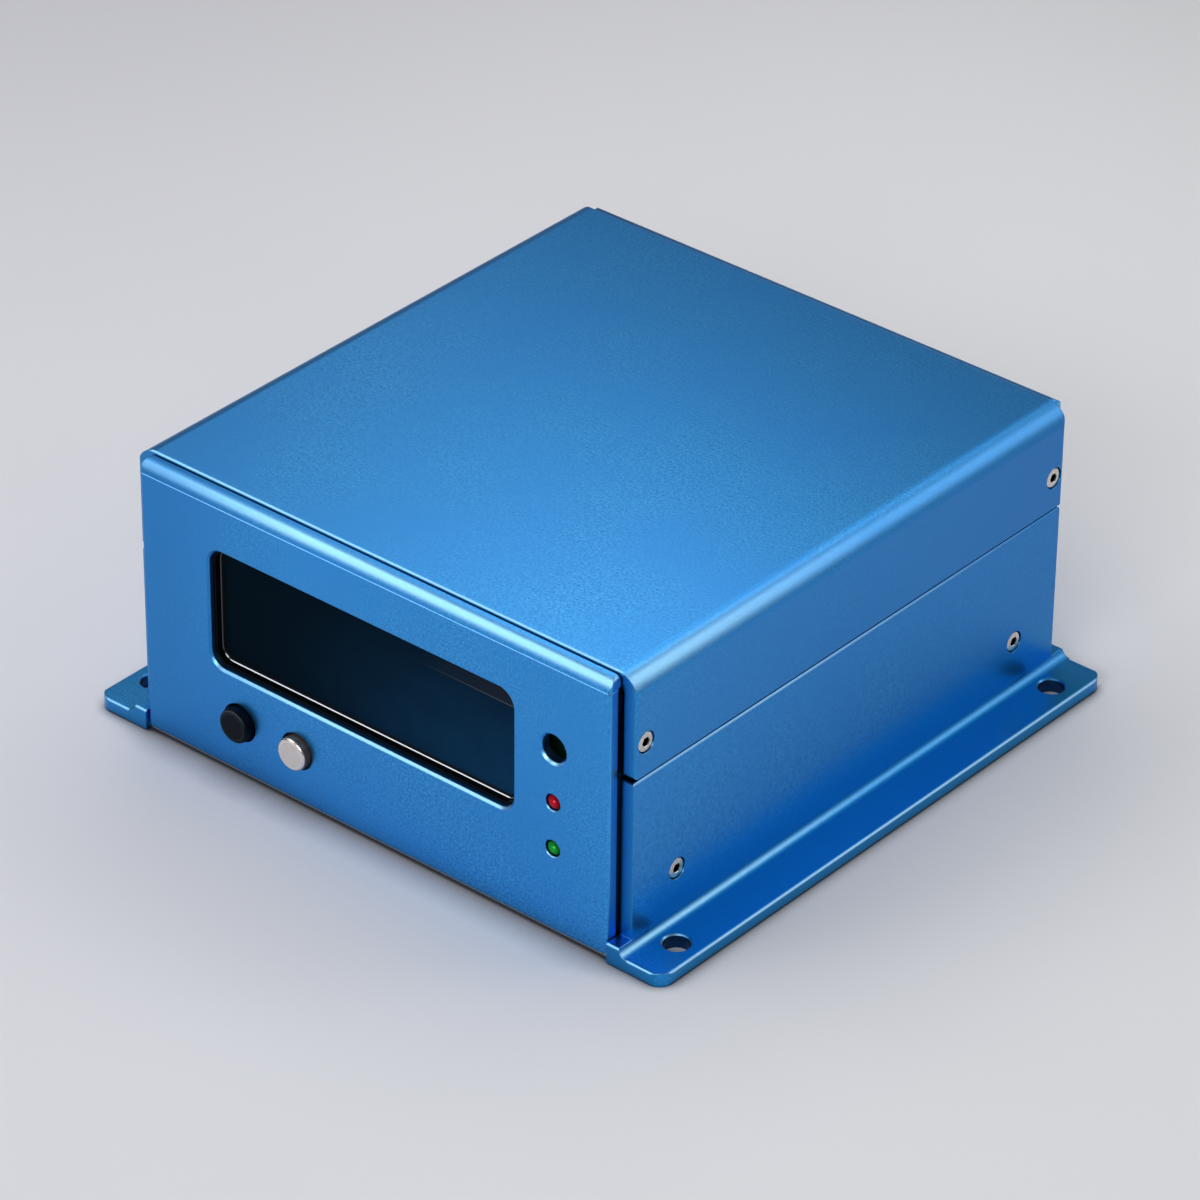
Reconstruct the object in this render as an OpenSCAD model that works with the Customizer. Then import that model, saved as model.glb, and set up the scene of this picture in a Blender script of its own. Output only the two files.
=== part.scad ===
// Small instrument enclosure of folded and anodised aluminium sheet, in millimetres.
// A tray carries everything: two panels close its ends, a cover closes its top, and two
// angle brackets with feet are screwed to its sides. A display, two push buttons and two
// indicator lamps sit behind the front panel, and a main board lies on the tray's floor.
// The front looks along -Y, and the origin is the centre of the foot holes on the mounting plane.

/* [Case] */
// Width of the front and rear panels
panel_w = 100; // [88:1:130]
// Depth from the front panel's face to the rear panel's face
case_d = 115; // [105:1:160]
// Height of the cover's top above the mounting plane
case_h = 53; // [48:0.5:75]
// Height of the panels' lower edge above the mounting plane
panel_lift = 1.2; // [0.6:0.1:2.5]
// Height of the cover from its skirts' lower edge to its top
cover_h = 18.8; // [16:0.1:22]

/* [Sheet] */
// Thickness of the front and rear panels
panel_t = 2; // [1.6:0.1:2.6]
// Inside radius of the panels' rolled top edge
panel_roll_r = 0.4; // [0.2:0.1:1]
// Flat left on the panels' top edge after the roll
panel_lip = 0.1; // [0.1:0.1:1]
// Thickness of the cover
cover_t = 2.5; // [2:0.1:3]
// Inside radius of the cover's folds
cover_fold_r = 1.25; // [0.5:0.05:3]
// Thickness of the tray
tray_t = 2; // [1.5:0.1:2.5]
// Inside radius of the tray's folds
tray_fold_r = 0.5; // [0.3:0.1:1]
// Radius that breaks the sheets' cut edges
edge_r = 0.5; // [0.2:0.05:0.7]
// Corner radius of the panels
panel_corner_r = 1; // [0.5:0.1:2]

/* [Gaps] */
// Gap between a panel's top edge and the cover's end
panel_gap = 0.3; // [0.2:0.05:0.8]
// How far the cover's top stands above the panels' top
cover_step = 0.5; // [0:0.1:1]
// Gap between the cover's skirts and the tray's walls
skirt_gap = 0.3; // [0.15:0.05:0.6]
// Gap between the cover's skirts and the brackets
seam_gap = 0.7; // [0.2:0.05:0.8]
// How far each of the tray's walls stands outside the panels' ends
tray_proud = 0.2; // [0:0.05:0.5]
// Gap between the tray's cut ends and the panels' backs
tray_gap = 0.4; // [0.2:0.05:0.8]
// Radial room round a thread, a pressed head or a lead
thread_gap = 0.05; // [0.02:0.01:0.1]
// Play left between pieces that are stacked or set side by side
stack_gap = 0.2; // [0.1:0.05:0.4]

/* [Brackets] */
// Thickness of the angle section
angle_t = 2.5; // [2:0.1:3]
// Fillet inside the angle
angle_fillet_r = 1.5; // [0.6:0.1:1.6]
// Width of a foot outside the bracket's wall
foot_w = 8.9; // [8.6:0.1:14]
// How far the feet run past the panels' faces
foot_proud = 0.5; // [0:0.1:4]
// Corner radius of the feet
foot_corner_r = 3; // [1:0.1:4]
// Diameter of the mounting holes
foot_hole_d = 4.4; // [3:0.1:5.2]
// Distance of the mounting holes from the bracket's wall
foot_hole_out = 4.4; // [4.2:0.1:5.2]
// Distance of the mounting holes from the ends of the feet
foot_hole_in = 9; // [6:0.5:20]
// Chamfer round the mounting holes
foot_hole_bevel = 0.3; // [0.1:0.1:0.6]

/* [Case screws] */
// Thread diameter of the cover and bracket screws
screw_d = 2; // [1.6:0.1:2.2]
// Length of their shanks
screw_l = 4; // [3.6:0.1:5]
// Diameter of their heads
screw_head_d = 3.6; // [3.2:0.1:3.8]
// Height of their heads
screw_head_h = 1.2; // [0.8:0.1:1.4]
// Width of their hexagon sockets across the flats
screw_socket = 1.5; // [0.9:0.1:1.5]
// Metal left under the hexagon socket of any screw
socket_floor = 0.4; // [0.3:0.05:0.6]
// Room round a head in its recess
screw_recess_gap = 0.15; // [0.1:0.05:0.35]
// How deep a head lies below the sheet's face
screw_sink = 0.05; // [0:0.05:0.3]
// Distance of the cover's screws from the cover's ends
cover_screw_in = 2.5; // [2.4:0.1:8]
// Height of the cover's screws above the seam
cover_screw_up = 6; // [4:0.1:9]
// Distance of the brackets' screws from the walls' ends
bracket_screw_in = 10.9; // [6:0.1:20]
// Height of the brackets' screws above the mounting plane
bracket_screw_h = 12; // [9:0.1:16]

/* [Panel fixings] */
// Width of the tray's end flanges
flange_w = 8; // [7.5:0.1:8.4]
// Distance of the flanges' upper end below the cover's top
flange_down = 18.8; // [18.6:0.1:24]
// Height of the relief cuts at the flanges' ends
relief_h = 0.5; // [0.3:0.1:1]
// Thread diameter of the panel studs
stud_d = 2.5; // [2:0.1:2.5]
// Length of a stud behind its panel
stud_l = 5.6; // [5:0.1:6]
// Distance of the studs from the flanges' free edge
stud_in = 2.9; // [2.8:0.1:3]
// Distance of the lower studs from the flanges' lower end
stud_low = 4; // [3:0.1:8]
// Distance of the upper studs from the flanges' upper end
stud_high = 4; // [3:0.1:8]
// Width of the nuts across the flats
nut_w = 5; // [4:0.1:5]
// Thickness of the nuts
nut_t = 2; // [1.5:0.1:2.4]
// Diameter of the pressed heads of studs and standoffs
clinch_d = 3; // [2.8:0.1:3.2]
// Depth of the blind pockets that take them in the panels
clinch_depth = 1; // [0.6:0.1:1.2]

/* [Display] */
// Distance of the window from the panel's left end
window_left = 14.8; // [14.5:0.1:15.5]
// Distance of the window from the panel's right end
window_right = 19.8; // [19.5:0.1:30]
// Height of the window
window_h = 22.4; // [18:0.1:23]
// Corner radius of the window
window_r = 3; // [1:0.1:5]
// Height of the window's lower edge above the panel's lower edge
window_up = 18.2; // [17.5:0.1:20]
// Chamfer round the window and the port
window_bevel = 0.4; // [0.1:0.05:0.6]
// Wall of the gasket's lip inside the window
gasket_lip = 0.5; // [0.3:0.05:0.8]
// How far the lip reaches into the window
gasket_in = 0.8; // [0.4:0.1:1]
// Width of the gasket's flange round the window
gasket_flange = 1.2; // [0.8:0.1:1.4]
// Thickness of the gasket's flange
gasket_t = 1.2; // [0.8:0.1:1.4]
// Thickness of the lens
lens_t = 1.2; // [1:0.1:1.6]
// Height of the lens's raised face
lens_rise = 0.5; // [0.3:0.1:0.8]
// Bevel round the lens's raised face
lens_bevel = 0.3; // [0.1:0.05:0.4]
// Distance from the panel's back to the boards behind it
board_back = 6.5; // [6.3:0.1:9]
// Thickness of every circuit board
board_t = 1.6; // [1:0.1:2]
// Wall of the display's metal bezel
bezel_t = 0.5; // [0.3:0.1:0.8]
// Width of the bezel's rim over the display cell
bezel_rim = 1.6; // [1:0.1:2.5]
// Diameter of the panel's standoffs
standoff_d = 3.5; // [3.3:0.1:3.8]
// Distance of the display's standoffs outside the gasket
standoff_out = 2.3; // [2:0.1:2.6]
// Land of a board round its corner screws
board_land = 2; // [2:0.1:2.2]
// Corner radius of every circuit board
board_corner_r = 1; // [0.5:0.1:2]
// Height of the display's cable socket above the window's centre
display_socket_up = 7.2; // [5:0.1:8]

/* [Board screws] */
// Thread diameter of the boards' screws
board_screw_d = 1.6; // [1.4:0.1:1.8]
// Thread length of the boards' screws past their board
board_screw_in = 2; // [1.5:0.1:2.4]
// Diameter of their heads
board_screw_head_d = 3; // [2.8:0.1:3.2]
// Height of their heads
board_screw_head_h = 1.2; // [0.8:0.1:1.4]
// Width of their hexagon sockets across the flats
board_socket = 0.9; // [0.7:0.1:1.2]

/* [Buttons] */
// Diameter of the black button's cap
black_d = 6.2; // [5:0.1:6.6]
// How far the black cap stands out of the panel
black_proud = 1.8; // [1.4:0.1:3]
// Diameter of the metal button's cap
metal_d = 6; // [5:0.1:6.6]
// How far the metal cap stands out of the panel
metal_proud = 1.6; // [1.4:0.1:3]
// Radial gap between a cap and its hole
button_gap = 0.4; // [0.3:0.05:0.6]
// Travel of the buttons
button_travel = 1; // [0.3:0.1:1.2]
// Distance of the black button from the panel's left end
button_left = 21; // [16:0.1:30]
// Distance between the two buttons
button_pitch = 12.7; // [10:0.1:16]
// Height of the buttons above the panel's lower edge
button_up = 9.4; // [9:0.1:10]
// Radius round the caps' faces
cap_round = 0.6; // [0.3:0.1:1]
// Thickness of the caps' retaining collars
collar_t = 0.8; // [0.5:0.1:1]
// Width of the caps' retaining collars
collar_w = 1; // [0.6:0.1:1.1]
// Diameter of the switch plungers
plunger_d = 3.2; // [2.5:0.1:3.6]
// Width of the square switch bodies
switch_w = 6.2; // [5.6:0.1:7]
// Height of the switch bodies
switch_h = 3.6; // [3:0.1:3.6]

/* [Lamps] */
// Diameter of the lamps
lamp_d = 2.9; // [2.5:0.1:3.2]
// Radial gap between a lamp and its hole
lamp_gap = 0.05; // [0.05:0.05:0.3]
// Chamfer round the lamps' holes
lamp_bevel = 0.15; // [0.1:0.05:0.4]
// How deep a lamp's tip lies below the panel's face
lamp_sink = 0; // [0:0.1:0.8]
// Width of a lamp's collar
lamp_collar = 0.45; // [0.3:0.05:0.6]
// Thickness of a lamp's collar
lamp_collar_t = 1; // [0.6:0.1:1.4]
// Distance of the lamps from the panel's right end
lamp_right = 11.5; // [11.3:0.1:12]
// Height of the green lamp above the panel's lower edge
green_up = 15.2; // [14:0.1:16]
// Height of the red lamp above the green lamp
red_up = 8.7; // [7:0.1:9]
// Diameter of the open hole above the lamps
port_d = 5; // [4:0.1:6]
// Height of the open hole above the red lamp
port_up = 10; // [9.8:0.1:12]
// Spacing of a lamp's two leads
lead_pitch = 2.54; // [2:0.01:2.6]
// Width of a lead
lead_w = 0.5; // [0.4:0.05:0.6]

/* [Main board] */
// Width of the main board
main_w = 84; // [60:1:86]
// Depth of the main board
main_d = 82; // [60:1:92]
// Distance from the main board's rear edge to the rear panel's back
main_rear = 5; // [4:0.1:8]
// Height of the main board's standoffs
main_standoff_h = 3; // [2.8:0.1:5]
// Distance of the main board's screws from its edges
main_screw_in = 3.5; // [3:0.1:6]
// Width of the controller chip
chip_w = 14; // [8:0.5:20]
// Thickness of the controller chip
chip_t = 1.6; // [1:0.1:2.4]
// Diameter of the capacitors
capacitor_d = 8; // [5:0.1:10]
// Height of the capacitors
capacitor_h = 11.5; // [6:0.5:16]
// Distance of the capacitors from the board's centre
capacitor_x = 26; // [22:1:32]
// Width of the power jack
jack_w = 9; // [8.5:0.1:11]
// Height of the power jack
jack_h = 11; // [9:0.1:13]
// Bore of the power jack
jack_d = 6.4; // [5:0.1:6.6]
// Pin of the power jack
jack_pin_d = 2; // [1.6:0.1:2.5]
// Wall of the power jack above and behind its bore
jack_wall = 1.2; // [1:0.1:1.3]
// Length of the power jack
jack_l = 14; // [12:0.5:16]
// Distance of the power jack from the panel's centre
jack_x = 22; // [10:1:24]
// Width of the flat cables and their sockets
ribbon_w = 13; // [8:0.5:15]
// Thickness of the flat cables
ribbon_t = 0.9; // [0.6:0.1:1.2]
// Bend radius of the display's flat cable
ribbon_bend = 6; // [3:0.5:8]
// Height of the cable sockets
socket_h = 5; // [4:0.1:5.4]
// Depth of the cable sockets
socket_d = 8; // [6:0.1:9]
// Wall of the cable sockets beside their cables
socket_wall = 0.5; // [0.3:0.1:0.8]
// Shortest straight run of the front board's flat cable
cable_run = 4; // [2:0.1:7]
// Distance of the front board's cable from the centre
front_socket_x = 8; // [4:0.5:14]
// Distance of the display's socket from the main board's front edge
display_socket_in = 22; // [20:0.5:26]

/* [Hidden] */
$fn = 64;

blue = "#2d7dbe";
steel = "#c4c2bf";
board_green = "#1f6b3f";
black = "#16181c";

// Cuts run this far past the faces that they open.
past = 1;

// Planes along the depth
front_y = -case_d / 2;
panel_back = front_y + panel_t;
panel_roll_out = panel_roll_r + panel_t;
panel_depth = panel_roll_out + panel_lip;
panel_top = case_h - cover_step;
cover_l = case_d - 2 * (panel_depth + panel_gap);
tray_l = case_d - 2 * (panel_t + tray_gap);
foot_l = case_d + 2 * foot_proud;
board_y = panel_back + board_back;

// Planes across the width
tray_w = panel_w + 2 * tray_proud;
tray_in = tray_w / 2 - tray_t;
cover_in = tray_w / 2 + skirt_gap;
cover_out = cover_in + cover_t;
angle_in = tray_w / 2;
angle_out = angle_in + angle_t;
foot_out = angle_out + foot_w;
foot_hole_x = angle_out + foot_hole_out;
foot_hole_y = foot_l / 2 - foot_hole_in;

// Heights
seam_h = case_h - cover_h;
tray_floor = panel_lift + tray_t;
tray_fold_out = tray_fold_r + tray_t;
tray_top = case_h - cover_t - cover_fold_r - skirt_gap;
angle_top = seam_h - seam_gap;
cover_screw_y = cover_l / 2 - cover_screw_in;
cover_screw_z = seam_h + cover_screw_up;
bracket_screw_y = cover_l / 2 - bracket_screw_in;
recess_d = screw_head_d + 2 * screw_recess_gap;
recess_depth = screw_head_h + screw_sink;

// Flanges and studs
flange_low = panel_lift + tray_fold_out + relief_h;
flange_top = case_h - flange_down;
flange_end = tray_w / 2 - flange_w;
stud_x = flange_end + stud_in;
stud_zs = [flange_low + stud_low, flange_top - stud_high];

// Window and display
window_w = panel_w - window_left - window_right;
window_x = -panel_w / 2 + window_left + window_w / 2;
window_z = panel_lift + window_up + window_h / 2;
lens_y = panel_back + gasket_t;
lens_w = window_w + 2 * gasket_flange;
lens_h = window_h + 2 * gasket_flange;
cell_w = window_w - 2 * gasket_lip;
cell_h = window_h - 2 * gasket_lip;
bezel_y = lens_y + lens_t + stack_gap;
bezel_w = cell_w + 2 * (stack_gap + bezel_t);
bezel_h = cell_h + 2 * (stack_gap + bezel_t);
standoff_x = lens_w / 2 + standoff_out;
standoff_z = lens_h / 2;
display_w = 2 * (standoff_x + board_land);
display_h = 2 * (standoff_z + board_land);
display_low = window_z - display_h / 2;

// Buttons and lamps
button_z = panel_lift + button_up;
black_x = -panel_w / 2 + button_left;
metal_x = black_x + button_pitch;
collar_y = panel_back + stack_gap;
hub_y = collar_y + collar_t;
switch_y = board_y - switch_h;
plunger_end = switch_y + button_travel + stack_gap;
lamp_x = panel_w / 2 - lamp_right;
green_z = panel_lift + green_up;
red_z = green_z + red_up;
port_z = red_z + port_up;
lamp_collar_y = panel_back + stack_gap;

// The front board lies below the display's board, with a leg up beside it behind the lamps.
front_board_low = tray_floor + board_land;
front_board_top = display_low - stack_gap;
front_board_left = -flange_end + stack_gap;
front_board_right = flange_end - stack_gap;
leg_left = window_x + display_w / 2 + stack_gap;
leg_screw_z = red_z + lamp_d / 2 + lamp_collar + standoff_d / 2 + stack_gap;
leg_top = leg_screw_z + board_land;
front_screw_z = front_board_low + board_land;
panel_screw_spots = [
    [window_x - standoff_x, window_z - standoff_z],
    [window_x - standoff_x, window_z + standoff_z],
    [window_x + standoff_x, window_z - standoff_z],
    [window_x + standoff_x, window_z + standoff_z],
    [front_board_left + board_land, front_screw_z],
    [front_board_right - board_land, front_screw_z],
    [(leg_left + front_board_right) / 2, leg_screw_z]
];

board_screw_l = board_t + board_screw_in;

// Main board and what stands on it
main_z = tray_floor + main_standoff_h;
main_top = main_z + board_t;
main_y = case_d / 2 - panel_t - main_rear - main_d / 2;
main_front = main_y - main_d / 2;
main_screw_x = main_w / 2 - main_screw_in;
main_screw_y = main_d / 2 - main_screw_in;
jack_axis = main_top + jack_h - jack_d / 2 - jack_wall;
jack_mouth = case_d / 2 - panel_t - stack_gap;
jack_hole_d = jack_d + 2 * jack_wall;
socket_z = main_top + socket_h / 2;
socket_w = ribbon_w + 2 * socket_wall;
// The front board's cable is straight: its far socket stands at the main board's front edge, or
// farther in where the main board runs under the near socket.
cable_start = board_y + board_t + socket_d;
front_socket_y = max(main_front, cable_start + cable_run);
display_socket_y = main_front + display_socket_in;
display_socket_z = window_z + display_socket_up;

// Plain pieces that several of the parts are made from

// Flat outline with all four corners rounded, from its low corner to its high corner.
module soft_rect(low, high, r) {
    size = high - low;
    translate(low + [r, 0]) square([size.x - 2 * r, size.y]);
    translate(low + [0, r]) square([size.x, size.y - 2 * r]);
    for (x = [low.x + r, high.x - r], y = [low.y + r, high.y - r])
        translate([x, y]) circle(r);
}

// Flat outline of a by b with only its corner at the origin rounded.
module round_corner(a, b, r) {
    translate([r, 0]) square([a - r, b]);
    translate([0, r]) square([a, b - r]);
    translate([r, r]) circle(r);
}

// Folded sheet seen on edge: legs a and b from the corner at the origin, thickness t, inside radius r.
module fold(a, b, t, r) {
    difference() {
        round_corner(a, b, r + t);
        translate([t, t]) round_corner(a, b, r);
    }
}

// An outline drawn in X and Z, carried along Y.
module along_y(y0, y1) {
    translate([0, y1, 0]) rotate([90, 0, 0]) linear_extrude(y1 - y0) children();
}

// An outline drawn in Y and Z, carried along X.
module along_x(x0, x1) {
    translate([x0, 0, 0]) rotate([90, 0, 90]) linear_extrude(x1 - x0) children();
}

// An outline drawn in X and Y, carried along Z.
module along_z(z0, z1) {
    translate([0, 0, z0]) linear_extrude(z1 - z0) children();
}

// Round bar along Y at x and z.
module rod_y(d, y0, y1, x, z) {
    translate([x, y0, z]) rotate([-90, 0, 0]) cylinder(d = d, h = y1 - y0);
}

// Round bar along X at y and z.
module rod_x(d, x0, x1, y, z) {
    translate([x0, y, z]) rotate([0, 90, 0]) cylinder(d = d, h = x1 - x0);
}

// Countersink of width c at the front face of a hole along Y.
module bevel_y(d, c, y, x, z) {
    translate([x, y, z]) rotate([-90, 0, 0]) cylinder(d1 = d + 2 * c, d2 = d, h = c);
}

// Frustum of a rounded rectangle that narrows by c over a depth of c along +Y, as a chamfer cut.
module bevel_rect(w, h, r, c) {
    taper_x = [[-w / 2 - c, 0], [w / 2 + c, 0], [w / 2, c], [-w / 2, c]];
    taper_z = [[0, -h / 2 - c], [c, -h / 2], [c, h / 2], [0, h / 2 + c]];
    along_z(r - h / 2, h / 2 - r) polygon(taper_x);
    along_x(r - w / 2, w / 2 - r) polygon(taper_z);
    for (x = [r - w / 2, w / 2 - r], z = [r - h / 2, h / 2 - r])
        bevel_y(2 * r, c, 0, x, z);
}

// Socket screw that points down from the underside of its domed head at the origin.
module socket_screw(d, l, head_d, head_h, socket) {
    dome_r = head_d;
    difference() {
        union() {
            translate([0, 0, -l]) cylinder(d = d, h = l);
            intersection() {
                cylinder(d = head_d, h = head_h);
                translate([0, 0, head_h - dome_r]) sphere(dome_r);
            }
        }
        translate([0, 0, socket_floor]) cylinder(d = socket / cos(30), h = head_h, $fn = 6);
    }
}

// The places of the four case screws of one kind, on both sides.
module both_sides() {
    children();
    mirror([1, 0, 0]) children();
}

// Recess and shank hole for a case screw in a sheet whose outer face is at x.
module case_screw_hole(x, y, z) {
    rod_x(recess_d, x - recess_depth, x + past, y, z);
    rod_x(screw_d + 2 * screw_recess_gap, angle_in - past, x, y, z);
}

// Tapped hole for a case screw in the tray's wall.
module tapped_hole(y, z) {
    rod_x(screw_d + 2 * thread_gap, tray_in - past, angle_in + past, y, z);
}

// Case screw that is driven into a sheet whose outer face is at x.
module case_screw(x, y, z) {
    translate([x - recess_depth, y, z]) rotate([0, 90, 0])
        socket_screw(screw_d, screw_l, screw_head_d, screw_head_h, screw_socket);
}

// The tray: floor and side walls in one fold, with flanges at all four ends.
module tray_section() {
    outer = [tray_w / 2, panel_lift];
    difference() {
        for (side = [0, 1]) mirror([side, 0]) translate([-outer.x, outer.y])
            round_corner(outer.x, tray_top - outer.y, tray_fold_out);
        for (side = [0, 1]) mirror([side, 0]) translate([tray_t - outer.x, tray_floor])
            round_corner(outer.x, tray_top, tray_fold_r);
    }
}

module tray() {
    color(blue) difference() {
        union() {
            difference() {
                along_y(-tray_l / 2, tray_l / 2) tray_section();
                for (end = [0, 1], side = [0, 1]) mirror([side, 0, 0]) mirror([0, end, 0])
                    along_z(flange_low - relief_h, flange_top + relief_h)
                        translate([tray_in - past, front_y])
                            square([tray_t + 2 * past, panel_t + tray_fold_out]);
            }
            for (end = [0, 1], side = [0, 1]) mirror([side, 0, 0]) mirror([0, end, 0])
                along_z(flange_low, flange_top) translate([tray_w / 2, panel_back]) mirror([1, 0])
                    fold(flange_w, tray_fold_out + tray_t, tray_t, tray_fold_r);
        }
        both_sides() for (end = [-1, 1]) {
            tapped_hole(end * cover_screw_y, cover_screw_z);
            tapped_hole(end * bracket_screw_y, bracket_screw_h);
        }
        for (end = [0, 1], side = [-1, 1], z = stud_zs) mirror([0, end, 0])
            rod_y(stud_d + 2 * stack_gap, panel_back - past, panel_back + tray_t + past, side * stud_x, z);
        for (x = [-1, 1], y = [-1, 1])
            translate([x * main_screw_x, main_y + y * main_screw_y, panel_lift - past])
                cylinder(d = clinch_d, h = tray_t + 2 * past);
    }
}

// The right bracket: an angle section, its wall cut back at both ends above the fillet.
module bracket_wall() {
    relief_z = angle_t + angle_fillet_r;
    intersection() {
        along_y(-foot_l / 2, foot_l / 2) {
            soft_rect([angle_in, 0], [angle_out, angle_top], edge_r);
            difference() {
                translate([angle_out - edge_r, angle_t - edge_r]) square(angle_fillet_r + edge_r);
                translate([angle_out + angle_fillet_r, angle_t + angle_fillet_r]) circle(angle_fillet_r);
            }
        }
        along_x(angle_in, foot_out) {
            soft_rect([-foot_l / 2, 0], [foot_l / 2, relief_z], edge_r);
            soft_rect([-cover_l / 2, 0], [cover_l / 2, angle_top], edge_r);
        }
    }
}

module bracket_foot() {
    intersection() {
        along_y(-foot_l / 2, foot_l / 2) soft_rect([angle_in, 0], [foot_out, angle_t], edge_r);
        along_x(angle_in, foot_out) soft_rect([-foot_l / 2, 0], [foot_l / 2, angle_t], edge_r);
        along_z(0, angle_t) {
            soft_rect([angle_in, -foot_l / 2], [foot_out, foot_l / 2], foot_corner_r);
            translate([angle_in, -foot_l / 2]) square([foot_w, foot_l]);
        }
    }
}

module bracket() {
    color(blue) difference() {
        union() {
            bracket_wall();
            bracket_foot();
        }
        for (end = [-1, 1]) {
            translate([foot_hole_x, end * foot_hole_y, 0]) {
                translate([0, 0, -past]) cylinder(d = foot_hole_d, h = angle_t + 2 * past);
                translate([0, 0, angle_t - foot_hole_bevel])
                    cylinder(d1 = foot_hole_d, d2 = foot_hole_d + 2 * foot_hole_bevel, h = foot_hole_bevel);
            }
            case_screw_hole(angle_out, end * bracket_screw_y, bracket_screw_h);
        }
    }
}

module right_bracket() {
    bracket();
}

module left_bracket() {
    mirror([1, 0, 0]) bracket();
}

module bracket_screws() {
    color(steel) both_sides() for (end = [-1, 1])
        case_screw(angle_out, end * bracket_screw_y, bracket_screw_h);
}

// A panel's blank: sheet whose top edge is rolled back a quarter turn, with its edges broken.
module panel_blank() {
    intersection() {
        along_x(-panel_w / 2, panel_w / 2) translate([front_y, panel_top]) mirror([0, 1])
            fold(panel_depth, panel_top - panel_lift, panel_t, panel_roll_r);
        along_y(front_y, front_y + panel_depth)
            soft_rect([-panel_w / 2, panel_lift], [panel_w / 2, panel_top], panel_corner_r);
        along_z(panel_lift, panel_top)
            soft_rect([-panel_w / 2, front_y], [panel_w / 2, front_y + panel_depth + past], edge_r);
    }
}

// Blind pocket in a panel's back for a pressed head.
module pocket(x, z) {
    rod_y(clinch_d, panel_back - clinch_depth, panel_back + past, x, z);
}

module stud_pockets() {
    for (side = [-1, 1], z = stud_zs) pocket(side * stud_x, z);
}

// Round hole with a countersunk front edge.
module front_hole(d, bevel, x, z) {
    rod_y(d, front_y - past, panel_back + past, x, z);
    bevel_y(d, bevel, front_y, x, z);
}

module front_panel() {
    color(blue) difference() {
        panel_blank();
        stud_pockets();
        for (spot = panel_screw_spots) pocket(spot.x, spot.y);
        translate([window_x, 0, window_z]) {
            along_y(front_y - past, panel_back + past)
                soft_rect(-[window_w, window_h] / 2, [window_w, window_h] / 2, window_r);
            translate([0, front_y, 0]) bevel_rect(window_w, window_h, window_r, window_bevel);
        }
        rod_y(black_d + 2 * button_gap, front_y - past, panel_back + past, black_x, button_z);
        rod_y(metal_d + 2 * button_gap, front_y - past, panel_back + past, metal_x, button_z);
        for (z = [red_z, green_z]) front_hole(lamp_d + 2 * lamp_gap, lamp_bevel, lamp_x, z);
        front_hole(port_d, window_bevel, lamp_x, port_z);
    }
}

module rear_panel() {
    color(blue) difference() {
        mirror([0, 1, 0]) difference() {
            panel_blank();
            stud_pockets();
        }
        rod_y(jack_hole_d, case_d / 2 - panel_t - past, case_d / 2 + past, jack_x, jack_axis);
    }
}

// Studs pressed into the panels' backs, and the nuts that hold the flanges on them.
module panel_studs() {
    color(steel) for (end = [0, 1], side = [-1, 1], z = stud_zs) mirror([0, end, 0]) {
        rod_y(clinch_d - 2 * thread_gap, panel_back - clinch_depth, panel_back, side * stud_x, z);
        rod_y(stud_d, panel_back - clinch_depth, panel_back + stud_l, side * stud_x, z);
    }
}

module panel_nuts() {
    nut_y = panel_back + tray_t;
    color(steel) for (end = [0, 1], side = [-1, 1], z = stud_zs) mirror([0, end, 0]) difference() {
        translate([side * stud_x, nut_y, z]) rotate([-90, 30, 0])
            cylinder(d = nut_w / cos(30), h = nut_t, $fn = 6);
        rod_y(stud_d + 2 * thread_gap, nut_y - past, nut_y + nut_t + past, side * stud_x, z);
    }
}

// The cover: top and two skirts in one fold, its ends broken where they show.
module cover_section() {
    difference() {
        for (side = [0, 1]) mirror([side, 0]) translate([-cover_out, case_h]) mirror([0, 1])
            round_corner(cover_out, case_h - seam_h, cover_fold_r + cover_t);
        for (side = [0, 1]) mirror([side, 0]) translate([-cover_in, case_h - cover_t]) mirror([0, 1])
            round_corner(cover_in, case_h, cover_fold_r);
    }
}

module cover() {
    color(blue) difference() {
        intersection() {
            along_y(-cover_l / 2, cover_l / 2) cover_section();
            along_x(-cover_out, cover_out)
                soft_rect([-cover_l / 2, seam_h], [cover_l / 2, case_h], edge_r);
            along_z(seam_h, case_h)
                soft_rect([-cover_out, -cover_l / 2], [cover_out, cover_l / 2], edge_r);
        }
        both_sides() for (end = [-1, 1])
            case_screw_hole(cover_out, end * cover_screw_y, cover_screw_z);
    }
}

module cover_screws() {
    color(steel) both_sides() for (end = [-1, 1])
        case_screw(cover_out, end * cover_screw_y, cover_screw_z);
}

// Gasket: a flange behind the panel, with a lip that lines the window.
module window_gasket() {
    lip = [window_w, window_h] / 2 - [thread_gap, thread_gap];
    clear = [cell_w, cell_h] / 2;
    clear_r = window_r - gasket_lip;
    color(black) translate([window_x, 0, window_z]) difference() {
        union() {
            along_y(panel_back, lens_y)
                soft_rect(-[lens_w, lens_h] / 2, [lens_w, lens_h] / 2, window_r + gasket_flange);
            along_y(panel_back - gasket_in, lens_y) soft_rect(-lip, lip, window_r);
        }
        along_y(front_y, lens_y + past) soft_rect(-clear, clear, clear_r);
    }
}

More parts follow.
